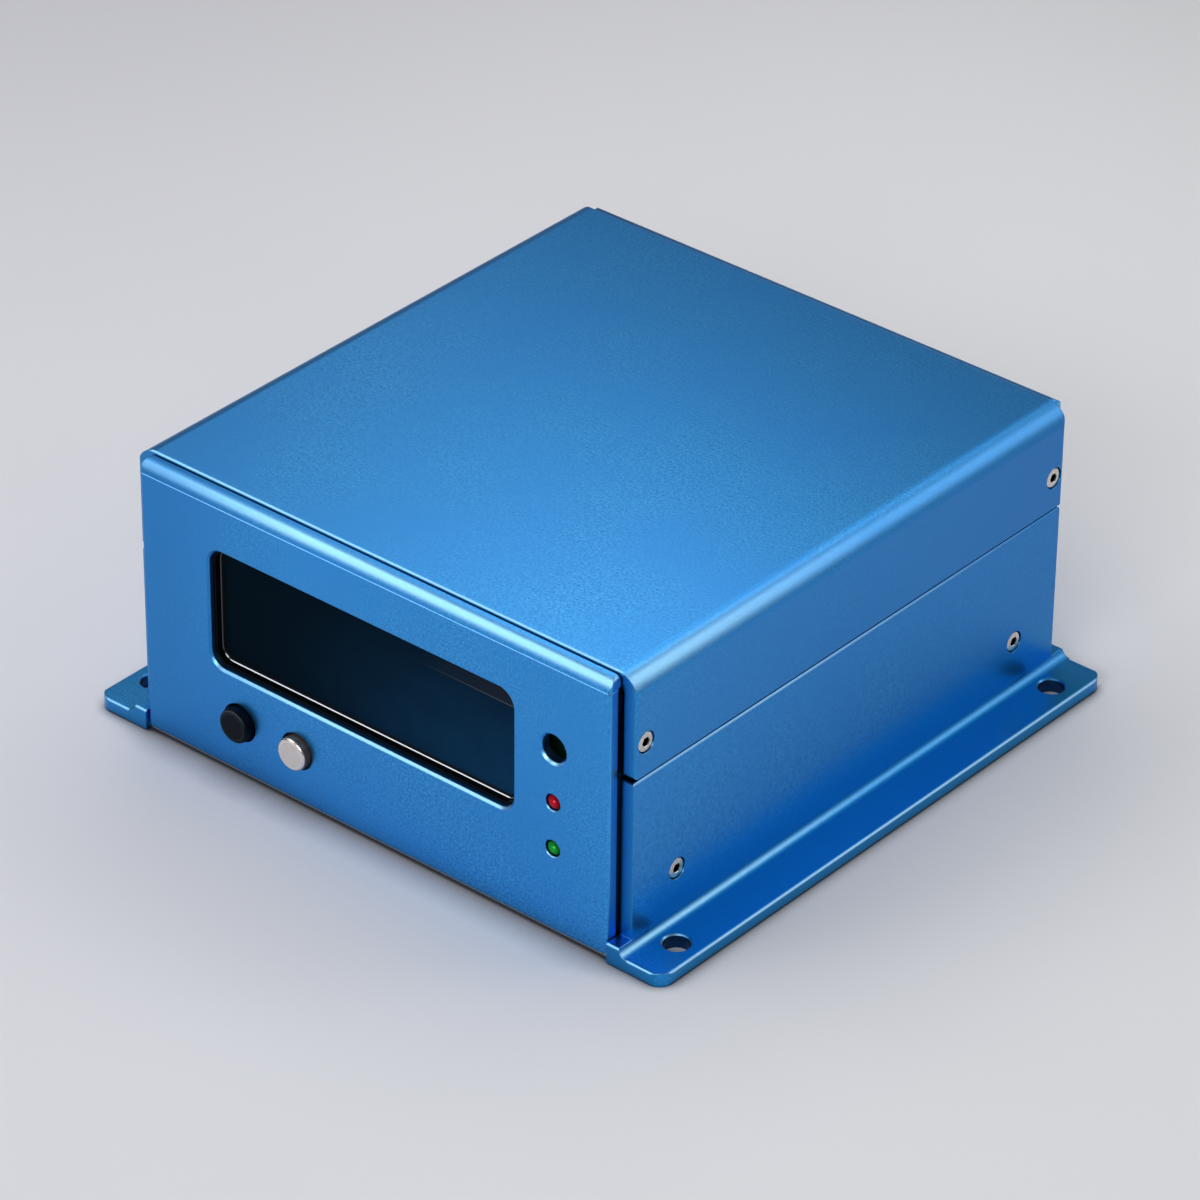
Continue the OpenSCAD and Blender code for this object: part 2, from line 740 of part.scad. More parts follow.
// Lens: a pane behind the gasket, with a raised and bevelled face that fills the gasket.
module window_lens() {
    face_w = cell_w - 2 * stack_gap;
    face_h = cell_h - 2 * stack_gap;
    face_r = window_r - gasket_lip - stack_gap;
    top_w = face_w - 2 * lens_bevel;
    top_h = face_h - 2 * lens_bevel;
    bevel_end = lens_y - lens_rise + lens_bevel;
    color("#0a1626") translate([window_x, 0, window_z]) {
        along_y(lens_y, lens_y + lens_t)
            soft_rect(-[lens_w, lens_h] / 2, [lens_w, lens_h] / 2, window_r + gasket_flange);
        intersection() {
            along_y(lens_y - lens_rise, lens_y + lens_t)
                soft_rect(-[face_w, face_h] / 2, [face_w, face_h] / 2, face_r);
            union() {
                translate([0, bevel_end, 0]) mirror([0, 1, 0])
                    bevel_rect(top_w, top_h, face_r - lens_bevel, lens_bevel);
                along_y(bevel_end, lens_y + lens_t)
                    soft_rect(-[face_w, face_h] / 2, [face_w, face_h] / 2, face_r);
            }
        }
    }
}

// Display module: a pressed metal bezel that clips the cell to its board.
module display_bezel() {
    outer = [bezel_w, bezel_h] / 2;
    inner = outer - [bezel_t, bezel_t];
    view = inner - [bezel_rim, bezel_rim];
    color("#3a3d42") translate([window_x, 0, window_z]) difference() {
        along_y(bezel_y, board_y) soft_rect(-outer, outer, 2 * bezel_t);
        along_y(bezel_y + bezel_t, board_y + past) soft_rect(-inner, inner, bezel_t);
        along_y(bezel_y - past, board_y) translate(-view) square(2 * view);
    }
}

module display_cell() {
    half = [cell_w, cell_h] / 2;
    color("#0d1a2b") translate([window_x, 0, window_z])
        along_y(bezel_y + bezel_t, board_y) translate(-half) square(2 * half);
}

module display_board() {
    half = [display_w, display_h] / 2;
    color(board_green) difference() {
        translate([window_x, 0, window_z]) along_y(board_y, board_y + board_t)
            soft_rect(-half, half, board_corner_r);
        for (spot = panel_screw_spots) board_hole(spot);
    }
}

module board_hole(spot) {
    rod_y(board_screw_d + 2 * stack_gap, board_y - past, board_y + board_t + past, spot.x, spot.y);
}

// Standoffs pressed into the front panel's back, tapped for the screws of the two boards.
module panel_standoffs() {
    thread_end = board_y - board_screw_in - stack_gap;
    color(steel) for (spot = panel_screw_spots) difference() {
        union() {
            rod_y(clinch_d - 2 * thread_gap, panel_back - clinch_depth, panel_back, spot.x, spot.y);
            rod_y(standoff_d, panel_back, board_y, spot.x, spot.y);
        }
        rod_y(board_screw_d + 2 * thread_gap, thread_end, board_y + past, spot.x, spot.y);
    }
}

// Board screws: seven at the front panel's boards and four at the main board.
module board_screw() {
    socket_screw(board_screw_d, board_screw_l, board_screw_head_d, board_screw_head_h, board_socket);
}

module board_screws() {
    color(steel) {
        for (spot = panel_screw_spots)
            translate([spot.x, board_y + board_t, spot.y]) rotate([-90, 0, 0]) board_screw();
        for (x = [-1, 1], y = [-1, 1])
            translate([x * main_screw_x, main_y + y * main_screw_y, main_top]) board_screw();
    }
}

// Button cap: a rounded face, a barrel through the panel and a collar behind it, bored for its plunger.
module button_cap(d, proud, x) {
    rim = d / 2 - cap_round;
    translate([x, front_y - proud, button_z]) rotate([-90, 0, 0]) difference() {
        union() {
            rotate_extrude() {
                square([rim, hub_y - front_y + proud]);
                translate([0, cap_round]) square([d / 2, hub_y - front_y + proud - cap_round]);
                translate([rim, cap_round]) intersection() {
                    circle(cap_round);
                    translate([0, -cap_round]) square(cap_round);
                }
            }
            translate([0, 0, collar_y - front_y + proud]) cylinder(d = d + 2 * collar_w, h = collar_t);
        }
        translate([0, 0, panel_back - front_y + proud])
            cylinder(d = plunger_d + 2 * thread_gap, h = panel_depth + collar_t + past);
    }
}

module black_button() {
    color(black) button_cap(black_d, black_proud, black_x);
}

module metal_button() {
    color(steel) button_cap(metal_d, metal_proud, metal_x);
}

// Plungers reach from the caps into the switch bodies.
module plunger(x) {
    color("#e8e4da") rod_y(plunger_d, panel_back, plunger_end, x, button_z);
}

module black_plunger() {
    plunger(black_x);
}

module metal_plunger() {
    plunger(metal_x);
}

module switch_bodies() {
    half = [switch_w, switch_w] / 2;
    well_end = plunger_end + button_travel + stack_gap;
    color("#2a2c30") for (x = [black_x, metal_x]) difference() {
        translate([x, 0, button_z]) along_y(switch_y, board_y) soft_rect(-half, half, edge_r);
        rod_y(plunger_d + 2 * stack_gap, switch_y - past, well_end, x, button_z);
    }
}

// Indicator lamp: a domed epoxy body with a collar behind the panel, on two leads.
module lamp(z) {
    tip = front_y + lamp_sink + lamp_d / 2;
    translate([lamp_x, tip, z]) sphere(d = lamp_d);
    rod_y(lamp_d, tip, lamp_collar_y + lamp_collar_t, lamp_x, z);
    rod_y(lamp_d + 2 * lamp_collar, lamp_collar_y, lamp_collar_y + lamp_collar_t, lamp_x, z);
    for (side = [-1, 1])
        translate([lamp_x - lead_w / 2, lamp_collar_y, z + side * lead_pitch / 2 - lead_w / 2])
            cube([lead_w, board_y + board_t + stack_gap - lamp_collar_y, lead_w]);
}

module red_lamp() {
    color("#c4122f") lamp(red_z);
}

module green_lamp() {
    color("#1e8c3a") lamp(green_z);
}

module front_board() {
    lead_hole_d = lead_w * sqrt(2) + 2 * thread_gap;
    color(board_green) difference() {
        along_y(board_y, board_y + board_t) {
            soft_rect([front_board_left, front_board_low], [front_board_right, front_board_top],
                board_corner_r);
            soft_rect([leg_left, front_board_low], [front_board_right, leg_top], board_corner_r);
        }
        for (spot = panel_screw_spots) board_hole(spot);
        for (z = [red_z, green_z], side = [-1, 1])
            rod_y(lead_hole_d, board_y - past, board_y + board_t + past, lamp_x, z + side * lead_pitch / 2);
    }
}

// Main board on standoffs that are pressed into the tray's floor.
module main_standoffs() {
    color(steel) for (x = [-1, 1], y = [-1, 1])
        translate([x * main_screw_x, main_y + y * main_screw_y, 0]) difference() {
            union() {
                translate([0, 0, panel_lift]) cylinder(d = clinch_d - 2 * thread_gap, h = tray_t);
                translate([0, 0, tray_floor]) cylinder(d = standoff_d, h = main_standoff_h);
            }
            translate([0, 0, main_top - board_screw_l - stack_gap])
                cylinder(d = board_screw_d + 2 * thread_gap, h = board_screw_l);
        }
}

module main_board() {
    low = [-main_w / 2, main_front];
    color(board_green) difference() {
        along_z(main_z, main_top) soft_rect(low, low + [main_w, main_d], board_corner_r);
        for (x = [-1, 1], y = [-1, 1])
            translate([x * main_screw_x, main_y + y * main_screw_y, main_z - past])
                cylinder(d = board_screw_d + 2 * stack_gap, h = board_t + 2 * past);
    }
}

module controller_chip() {
    half = [chip_w, chip_w] / 2;
    color(black) translate([0, main_y, main_top]) along_z(0, chip_t) soft_rect(-half, half, edge_r);
}

module capacitors() {
    color("#30343c") for (side = [-1, 1])
        translate([-capacitor_x, main_y + side * capacitor_d, main_top]) {
            cylinder(d = capacitor_d, h = capacitor_h - edge_r);
            cylinder(d = capacitor_d - 2 * edge_r, h = capacitor_h);
        }
}

// Power jack on the main board's rear edge, its mouth at the hole in the rear panel.
module power_jack() {
    color(black) difference() {
        along_y(jack_mouth - jack_l, jack_mouth)
            soft_rect([jack_x - jack_w / 2, main_top], [jack_x + jack_w / 2, main_top + jack_h], edge_r);
        rod_y(jack_d, jack_mouth - jack_l + jack_wall, jack_mouth + past, jack_x, jack_axis);
    }
    color(steel) rod_y(jack_pin_d, jack_mouth - jack_l, jack_mouth - jack_wall, jack_x, jack_axis);
}

// Cable sockets: a facing pair for the front board, and a pair for the display.
module cable_sockets() {
    color(black) {
        socket_y(front_socket_x, board_y + board_t, cable_start, socket_z);
        socket_y(front_socket_x, front_socket_y, front_socket_y + socket_d, socket_z);
        socket_y(window_x, board_y + board_t, cable_start, display_socket_z);
        half = [socket_w, socket_h] / 2;
        translate([window_x, display_socket_y, 0]) along_z(main_top, main_top + socket_d)
            soft_rect(-half, half, edge_r);
    }
}

module socket_y(x, y0, y1, z) {
    half = [socket_w, socket_h] / 2;
    translate([x, 0, z]) along_y(y0, y1) soft_rect(-half, half, edge_r);
}

// Flat cables: one bent upward to the display, and one straight to the front board.
module display_cable() {
    low = main_top + socket_d;
    reach = display_socket_y + ribbon_t / 2 - cable_start;
    rise = display_socket_z + ribbon_t / 2 - low;
    color("#9a9ca0") along_x(window_x - ribbon_w / 2, window_x + ribbon_w / 2)
        translate([cable_start + reach, low + rise]) rotate(180)
            fold(reach, rise, ribbon_t, ribbon_bend);
}

module front_cable() {
    low = [front_socket_x - ribbon_w / 2, socket_z - ribbon_t / 2];
    color("#9a9ca0") along_y(cable_start, front_socket_y)
        translate(low) square([ribbon_w, ribbon_t]);
}

tray();
left_bracket();
right_bracket();
bracket_screws();
front_panel();
rear_panel();
panel_studs();
panel_nuts();
cover();
cover_screws();
window_gasket();
window_lens();
display_bezel();
display_cell();
display_board();
panel_standoffs();
board_screws();
black_button();
metal_button();
black_plunger();
metal_plunger();
switch_bodies();
red_lamp();
green_lamp();
front_board();
main_standoffs();
main_board();
controller_chip();
capacitors();
power_jack();
cable_sockets();
display_cable();
front_cable();
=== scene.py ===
import bmesh
import bpy
import numpy as np
from mathutils import Matrix, Vector


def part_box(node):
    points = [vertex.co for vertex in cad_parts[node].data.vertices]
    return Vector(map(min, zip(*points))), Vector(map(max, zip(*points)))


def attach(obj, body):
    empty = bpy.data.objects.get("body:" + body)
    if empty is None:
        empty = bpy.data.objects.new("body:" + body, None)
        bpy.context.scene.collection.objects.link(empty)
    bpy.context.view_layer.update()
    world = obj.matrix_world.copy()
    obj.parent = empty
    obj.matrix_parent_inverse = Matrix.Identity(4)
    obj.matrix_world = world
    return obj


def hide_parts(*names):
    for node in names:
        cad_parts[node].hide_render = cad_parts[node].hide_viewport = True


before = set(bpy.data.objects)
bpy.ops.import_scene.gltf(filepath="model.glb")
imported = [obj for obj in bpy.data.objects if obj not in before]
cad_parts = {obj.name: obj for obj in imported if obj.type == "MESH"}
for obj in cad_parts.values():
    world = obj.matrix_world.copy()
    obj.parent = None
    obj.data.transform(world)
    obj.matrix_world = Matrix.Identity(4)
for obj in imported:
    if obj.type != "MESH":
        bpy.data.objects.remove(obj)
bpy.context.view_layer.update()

# Tray: the sheet that carries everything, its floor and walls in one fold with flanges at the ends.
# Aluminium, cut, folded and anodised; it shows only deep in the seams between the outer sheets.

MM = 0.001


def linear(code):
    """sRGB hex to linear RGBA: c / 12.92 for a dark channel c, else ((c + 0.055) / 1.055) ** 2.4."""
    channels = np.array([int(code[start:start + 2], 16) for start in (1, 3, 5)]) / 255
    light = ((channels + 0.055) / 1.055) ** 2.4
    return (*np.where(channels <= 0.04045, channels / 12.92, light), 1.0)


def feed(material, node, inputs):
    """Sets a node's sockets: an output socket is linked, anything else becomes the socket's own value."""
    for name, value in inputs.items():
        if isinstance(value, bpy.types.NodeSocket):
            material.node_tree.links.new(value, node.inputs[name])
        else:
            node.inputs[name].default_value = value
    return node


def add(material, kind, inputs, **settings):
    """Adds one node: settings are its own properties, inputs go to its sockets by name or number."""
    node = material.node_tree.nodes.new("ShaderNode" + kind)
    for name, value in settings.items():
        setattr(node, name, value)
    return feed(material, node, inputs)


def new_material(name):
    """A node material with its shader and, ready for patterns, the object's own coordinates in metres."""
    material = bpy.data.materials.new(name)
    material.use_nodes = True
    place = add(material, "TexCoord", {}).outputs["Object"]
    return material, material.node_tree.nodes["Principled BSDF"], place


def dress(material, *names):
    """Puts a material on CAD nodes."""
    for name in names:
        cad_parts[name].data.materials.clear()
        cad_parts[name].data.materials.append(material)


# Painted shade: the tray is coloured near-black blue, standing in for the shade deep in the seams.
etch_grain = 0.4 * MM
seam_shade_sheet, shader, place = new_material("anodised_aluminium_painted_seam_shade")
grain = add(seam_shade_sheet, "TexNoise", {"Vector": place, "Scale": 1 / etch_grain, "Detail": 2.0}).outputs[0]
seam_dark = add(seam_shade_sheet, "Mix", {0: grain, 6: linear("#061930"), 7: linear("#0a2440")}, data_type="RGBA")
feed(seam_shade_sheet, shader, {"Base Color": seam_dark.outputs[2], "Metallic": 1.0, "Roughness": 0.5})
dress(seam_shade_sheet, "tray")

# Brackets: two angle sections whose walls lie against the tray and whose drilled feet carry the case.
# Aluminium, sawn to length and rounded where wall and foot meet; each is screwed on through its wall.

# Bead-blasted anodised aluminium: the dyed oxide tints the metal's own reflection, the blasted dimples
# spread it and leave a fine grain. Painted highlights make bends and edges that face upwards paler, most
# of all at the front; painted shade darkens upright sides, more towards the rear, and ends that face
# forwards or back. The dimples are about 0.1 mm across and are drawn coarser, so that they show.
blast_grain = 0.42 * MM
dye_cloud = 22 * MM
dimple = 0.05 * MM
broken_edge = 0.25 * MM
gradient_front = -50 * MM
gradient_rear = 50 * MM
front_light_end = 5 * MM
anodised, shader, place = new_material("anodised_blue_aluminium")
grain = add(anodised, "TexNoise", {"Vector": place, "Scale": 1 / blast_grain, "Detail": 2.0}).outputs[0]
cloud = add(anodised, "TexNoise", {"Vector": place, "Scale": 1 / dye_cloud, "Detail": 3.0}).outputs[0]
grain_share = add(anodised, "MapRange", {0: grain, 1: 0.25, 2: 0.75}).outputs[0]
cloud_share = add(anodised, "MapRange", {0: cloud, 1: 0.3, 2: 0.7}).outputs[0]
pits = add(anodised, "Mix", {0: grain_share, 6: linear("#1f7cca"), 7: linear("#4ab8fe")}, data_type="RGBA")
tone = add(anodised, "Mix", {0: cloud_share, 6: linear("#3499e8"), 7: pits.outputs[2]}, data_type="RGBA")
dull = add(anodised, "MapRange", {0: grain, 1: 0.25, 2: 0.75, 3: 0.38, 4: 0.29}).outputs[0]
edge = add(anodised, "Bevel", {"Radius": broken_edge}, samples=4).outputs[0]
facing = add(anodised, "SeparateXYZ", {0: edge}, name="facing").outputs
# Painted highlight: a mask of bends and edges that face partly upwards.
off_wall = add(anodised, "MapRange", {0: facing[2], 1: 0.25, 2: 0.6}).outputs[0]
off_flat = add(anodised, "MapRange", {0: facing[2], 1: 0.985, 2: 0.8}).outputs[0]
bent = add(anodised, "Math", {0: off_wall, 1: off_flat}, operation="MINIMUM", name="bent").outputs[0]
# Painted shade: upright sides are darker, the more so towards the rear.
upright = add(anodised, "Math", {0: facing[2]}, operation="ABSOLUTE").outputs[0]
side_shade = add(anodised, "MapRange", {0: upright, 1: 0.5, 2: 0.1}, name="side_shade").outputs[0]
rearward = add(anodised, "SeparateXYZ", {0: place}).outputs[1]
rear_shade = add(anodised, "MapRange", {0: rearward, 1: gradient_front, 2: gradient_rear, 3: 0.35, 4: 1.0}, name="rear_shade")
side_rear_shade = add(anodised, "Math", {0: side_shade, 1: rear_shade.outputs[0]}, operation="MULTIPLY").outputs[0]
deep = add(anodised, "Mix", {0: side_rear_shade, 6: tone.outputs[2], 7: linear("#107ac6")}, data_type="RGBA")
# Painted highlight colour: palest at the front, fading towards the rear.
rear_fade = add(anodised, "MapRange", {0: rearward, 1: gradient_front, 2: front_light_end}).outputs[0]
pale = add(anodised, "Mix", {0: rear_fade, 6: linear("#92d2fc"), 7: linear("#54a8f0")}, data_type="RGBA")
edge_lit = add(anodised, "Mix", {0: bent, 6: deep.outputs[2], 7: pale.outputs[2]}, data_type="RGBA")
# Painted shade: faces that face forwards or back are darker.
end_facing = add(anodised, "Math", {0: facing[1]}, operation="ABSOLUTE", name="end_facing").outputs[0]
end_on = add(anodised, "MapRange", {0: end_facing, 1: 0.85, 2: 0.97, 4: 0.75}).outputs[0]
end_mix = {0: end_on, 6: edge_lit.outputs[2], 7: linear("#2884c2")}
dye_and_light = add(anodised, "Mix", end_mix, data_type="RGBA", name="end_shade_tone").outputs[2]
relief = add(anodised, "Bump", {"Height": grain, "Strength": 0.5, "Distance": dimple, "Normal": edge})
feed(anodised, shader, {
    "Base Color": dye_and_light, "Metallic": 1.0, "Roughness": dull, "Normal": relief.outputs[0],
    "Coat Weight": 0.2, "Coat Roughness": 0.25, "Coat IOR": 1.5,
})


def corners(node):
    """The lowest and the highest corner of a CAD node's box, in metres."""
    return np.array(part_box(node))


def copied(material, name):
    """A copy of a material to change: the copy, its nodes, its shader and the object's own coordinates."""
    copy = material.copy()
    copy.name = name
    nodes = copy.node_tree.nodes
    return copy, nodes, nodes["Principled BSDF"], nodes["Texture Coordinate"].outputs["Object"]


def axis_distance(material, place, axis, flat):
    """Distance from an axis: the length of (place - axis) times flat, which is 0 along the axis, else 1."""
    offset = add(material, "VectorMath", {0: place, 1: axis}, operation="SUBTRACT").outputs[0]
    square_on = add(material, "VectorMath", {0: offset, 1: flat}, operation="MULTIPLY").outputs[0]
    return add(material, "VectorMath", {0: square_on}, operation="LENGTH").outputs["Value"]


# The same metal on the brackets, with painted shade low on their walls and feet, most on the right one and
# towards the middle of its foot, in the seam under the cover's edge and on the walls of the foot holes, and
# painted highlights along the wall's top edge at the seam, fading to the rear, and along the feet's outer
# rim.
foot_side, foot_end, wall_top = corners("right_bracket")[1]
cover_side = corners("cover")[1][0]
hole_from_side = 4.5 * MM
hole_from_end = 9 * MM
hole_axes = np.array([foot_side - hole_from_side, foot_end - hole_from_end, 0])
hole_wall = 2.24 * MM
hole_blend = 0.04 * MM
rim_round = 0.5 * MM
rim_lit = 0.3 * MM
kerb_width = 0.7 * MM
cover_lap = 0.48 * MM
lap_blend = 0.1 * MM
end_from = 8 * MM
end_full = 2 * MM
shade_from_height = 16 * MM
shade_full_height = 4 * MM
right_blend = 10 * MM
seam_light_end = -20 * MM
drilled, nodes, shader, place = copied(anodised, "anodised_blue_aluminium_drilled")
bent = nodes["bent"].outputs[0]
dye_and_light = nodes["end_shade_tone"].outputs[2]
folded = add(drilled, "VectorMath", {0: place}, operation="ABSOLUTE").outputs[0]
across, rearward, height = add(drilled, "SeparateXYZ", {0: place}).outputs
inward, endward, _ = add(drilled, "SeparateXYZ", {0: folded}).outputs
# Painted shade: darker low down, most on the right bracket and away from the ends of its foot.
low_shading = {0: height, 1: shade_from_height, 2: shade_full_height, 4: 0.9}
low = add(drilled, "MapRange", low_shading, interpolation_type="SMOOTHSTEP").outputs[0]
level = add(drilled, "Math", {0: 1.0, 1: bent}, operation="SUBTRACT").outputs[0]
away_from_end = {0: endward, 1: foot_end - end_from, 2: foot_end - end_full, 3: 1.0, 4: 0.35}
middle = add(drilled, "MapRange", away_from_end).outputs[0]
right_hand = add(drilled, "MapRange", {0: across, 1: -right_blend, 2: right_blend, 3: 0.3}).outputs[0]
low_level = add(drilled, "Math", {0: low, 1: level}, operation="MULTIPLY").outputs[0]
low_middle = add(drilled, "Math", {0: low_level, 1: middle}, operation="MULTIPLY").outputs[0]
shade_share = add(drilled, "Math", {0: low_middle, 1: right_hand}, operation="MULTIPLY").outputs[0]
foot_shaded = add(drilled, "Mix", {0: shade_share, 6: dye_and_light, 7: linear("#0b8cca")}, data_type="RGBA").outputs[2]
# Painted highlight on the wall's top edge at the seam, fading to the rear; painted shade where the cover
# laps it.
highlit = add(drilled, "MapRange", {0: height, 1: wall_top - rim_round, 2: wall_top - rim_lit}).outputs[0]
shaded = {0: inward, 1: cover_side - cover_lap, 2: cover_side - cover_lap - lap_blend}
under_cover = add(drilled, "MapRange", shaded).outputs[0]
seam_light_fade = add(drilled, "MapRange", {0: rearward, 1: seam_light_end, 2: gradient_rear}).outputs[0]
rim = add(drilled, "Mix", {0: seam_light_fade, 6: linear("#93cfff"), 7: linear("#4090d4")}, data_type="RGBA")
lip = add(drilled, "Mix", {0: under_cover, 6: rim.outputs[2], 7: linear("#08203c")}, data_type="RGBA")
seam_edge = add(drilled, "Mix", {0: highlit, 6: foot_shaded, 7: lip.outputs[2]}, data_type="RGBA").outputs[2]
# Painted highlight along the feet's outer rim.
kerb = add(drilled, "MapRange", {0: inward, 1: foot_side - kerb_width, 2: foot_side - rim_round}).outputs[0]
kerb_bend = add(drilled, "Math", {0: kerb, 1: bent}, operation="MULTIPLY").outputs[0]
kerbed = add(drilled, "Mix", {0: kerb_bend, 6: seam_edge, 7: linear("#a4d6fb")}, data_type="RGBA")
# Painted shade on the walls of the foot holes.
from_axis = axis_distance(drilled, folded, hole_axes, (1, 1, 0))
inside = add(drilled, "MapRange", {0: from_axis, 1: hole_wall + hole_blend, 2: hole_wall}).outputs[0]
holed = add(drilled, "Mix", {0: inside, 6: kerbed.outputs[2], 7: linear("#184a78")}, data_type="RGBA")
# On the brackets the painted side shade runs from 0.15 at the front to 0.85 at the rear.
feed(drilled, nodes["rear_shade"], {3: 0.15, 4: 0.85})
feed(drilled, shader, {"Base Color": holed.outputs[2], "Coat Weight": 0.15})
dress(drilled, "left_bracket", "right_bracket")

# Main board's standoffs: four round steel spacers that are pressed into the tray's floor.
# Turned from bar and plated bright, tapped for the board's screws.

# Bright turned steel: a pale metal with tool marks, about 0.05 mm apart and drawn coarser, in its gloss.
tool_mark = 0.2 * MM
steel, shader, place = new_material("bright_turned_steel")
marks = add(steel, "TexNoise", {"Vector": place, "Scale": 1 / tool_mark, "Detail": 2.0}).outputs[0]
pale = add(steel, "Mix", {0: marks, 6: linear("#cbc6c1"), 7: linear("#e4dfda")}, data_type="RGBA")
dull = add(steel, "MapRange", {0: marks, 1: 0.3, 2: 0.7, 3: 0.2, 4: 0.32}).outputs[0]
feed(steel, shader, {"Base Color": pale.outputs[2], "Metallic": 1.0, "Roughness": dull})
dress(steel, "main_standoffs")

# Main board: a glass-fibre board on the standoffs, with the controller and the supply on it.
# Etched copper under green lacquer, with tinned pads left bare.

# Green solder mask: satin lacquer, lighter where copper tracks lie under it and silvery at the pads.
track_cell = 5 * MM
pad_cell = 2.54 * MM
mask_green, shader, place = new_material("green_solder_mask")
by_track = {"Vector": place, "Scale": 1 / track_cell}
cells = add(mask_green, "TexVoronoi", by_track, feature="DISTANCE_TO_EDGE").outputs["Distance"]
by_pad = {"Vector": place, "Scale": 1 / pad_cell, "Randomness": 0.6}
dots = add(mask_green, "TexVoronoi", by_pad).outputs["Distance"]
track = add(mask_green, "MapRange", {0: cells, 1: 0.06, 2: 0.04}).outputs[0]
pad = add(mask_green, "MapRange", {0: dots, 1: 0.2, 2: 0.16}).outputs[0]
lacquer = add(mask_green, "Mix", {0: track, 6: linear("#175c38"), 7: linear("#2b7d4f")}, data_type="RGBA")
tinned = add(mask_green, "Mix", {0: pad, 6: lacquer.outputs[2], 7: linear("#b9bab8")}, data_type="RGBA")
dull = add(mask_green, "MapRange", {0: pad, 3: 0.38, 4: 0.25}).outputs[0]
feed(mask_green, shader, {"Base Color": tinned.outputs[2], "Metallic": pad, "Roughness": dull})
dress(mask_green, "main_board")

# Controller, cable sockets: black moulded bodies soldered to the boards.
# The controller is a flat square package, the sockets are open shells that the flat cables plug into.

# Black moulded plastic: nearly black and half matt, with the tool's fine spark-eroded texture.
spark_grain = 0.3 * MM
spark_depth = 0.03 * MM
moulded_edge = 0.12 * MM
moulded, shader, place = new_material("black_moulded_plastic")
grain = add(moulded, "TexNoise", {"Vector": place, "Scale": 1 / spark_grain, "Detail": 3.0}).outputs[0]
black = add(moulded, "Mix", {0: grain, 6: linear("#0d0e11"), 7: linear("#16181c")}, data_type="RGBA")
dull = add(moulded, "MapRange", {0: grain, 1: 0.3, 2: 0.7, 3: 0.42, 4: 0.54}).outputs[0]
edge = add(moulded, "Bevel", {"Radius": moulded_edge}, samples=4).outputs[0]
relief = add(moulded, "Bump", {"Height": grain, "Strength": 0.1, "Distance": spark_depth, "Normal": edge})
feed(moulded, shader, {"Base Color": black.outputs[2], "Roughness": dull, "Normal": relief.outputs[0]})
dress(moulded, "controller_chip", "cable_sockets")

# Capacitors: two aluminium cans on the main board, rolled in above their foot and shrunk into film.
# The film is turned in over the rim and leaves the can's bare end showing.

turn = np.linspace(0, 2 * np.pi, 49)


def lathe(rows):
    """Surface about z: a row (r, h) becomes (r cos t, r sin t, h) for t once round.
    A row's r and h may vary with t."""
    r, h, t = np.moveaxis(np.array([np.broadcast_arrays(r, h, turn) for r, h in rows]), 1, 0)
    return np.stack([r * np.cos(t), r * np.sin(t), h], -1)


def stand(grid, base, axis):
    """A grid moved to base + x u + y v + z w, where w is the axis to stand along and u, v lie across it."""
    w = np.array(axis, float)
    u = np.roll(w, 1)
    return np.array(base, float) + grid @ np.array([u, np.cross(w, u), w])


def build(name, grids, material, slot, *nodes):
    """One object from grids of points in millimetres: quads join neighbours, points that meet are welded."""
    sizes = [grid.shape[0] * grid.shape[1] for grid in grids]
    starts = np.cumsum([0] + sizes[:-1])
    order = [start + np.arange(size).reshape(grid.shape[:2])
             for grid, start, size in zip(grids, starts, sizes)]
    faces = [np.stack([i[:-1, :-1], i[1:, :-1], i[1:, 1:], i[:-1, 1:]], -1).reshape(-1, 4) for i in order]
    points = np.concatenate([grid.reshape(-1, 3) for grid in grids]) * MM
    mesh = bpy.data.meshes.new(name)
    mesh.from_pydata(points.tolist(), [], np.concatenate(faces).tolist())
    shell = bmesh.new()
    shell.from_mesh(mesh)
    bmesh.ops.remove_doubles(shell, verts=shell.verts, dist=0.001 * MM)
    bmesh.ops.recalc_face_normals(shell, faces=shell.faces)
    shell.to_mesh(mesh)
    shell.free()
    mesh.shade_smooth()
    mesh.set_sharp_from_angle(angle=np.radians(35))
    mesh.materials.append(material)
    piece = bpy.data.objects.new(name, mesh)
    bpy.context.scene.collection.objects.link(piece)
    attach(piece, "case")
    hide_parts(*nodes)


can_r = 4.0
can_low, can_high = corners("capacitors") / MM
can_x = can_high[0] - can_r
can_feet = [(can_x, y, can_low[2]) for y in (can_low[1] + can_r, can_high[1] - can_r)]
film_rows = [(0, 0), (3.5, 0), (3.9, 0.25), (can_r, 0.6), (can_r, 1.4), (3.72, 1.75), (3.72, 2.05)]
film_rows += [(can_r, 2.4), (can_r, 11.05), (3.87, 11.37), (3.55, 11.5), (3.15, 11.5), (3.05, 11.38)]
film_rows += [(3.05, 11.1), (0, 11.1)]
end_rows = [(0, 11.3), (2.9, 11.3), (3.04, 11.25), (3.04, 11.12), (0, 11.12)]
sleeves = [stand(lathe(film_rows), foot, (0, 0, 1)) for foot in can_feet]
ends = [stand(lathe(end_rows), foot, (0, 0, 1)) for foot in can_feet]

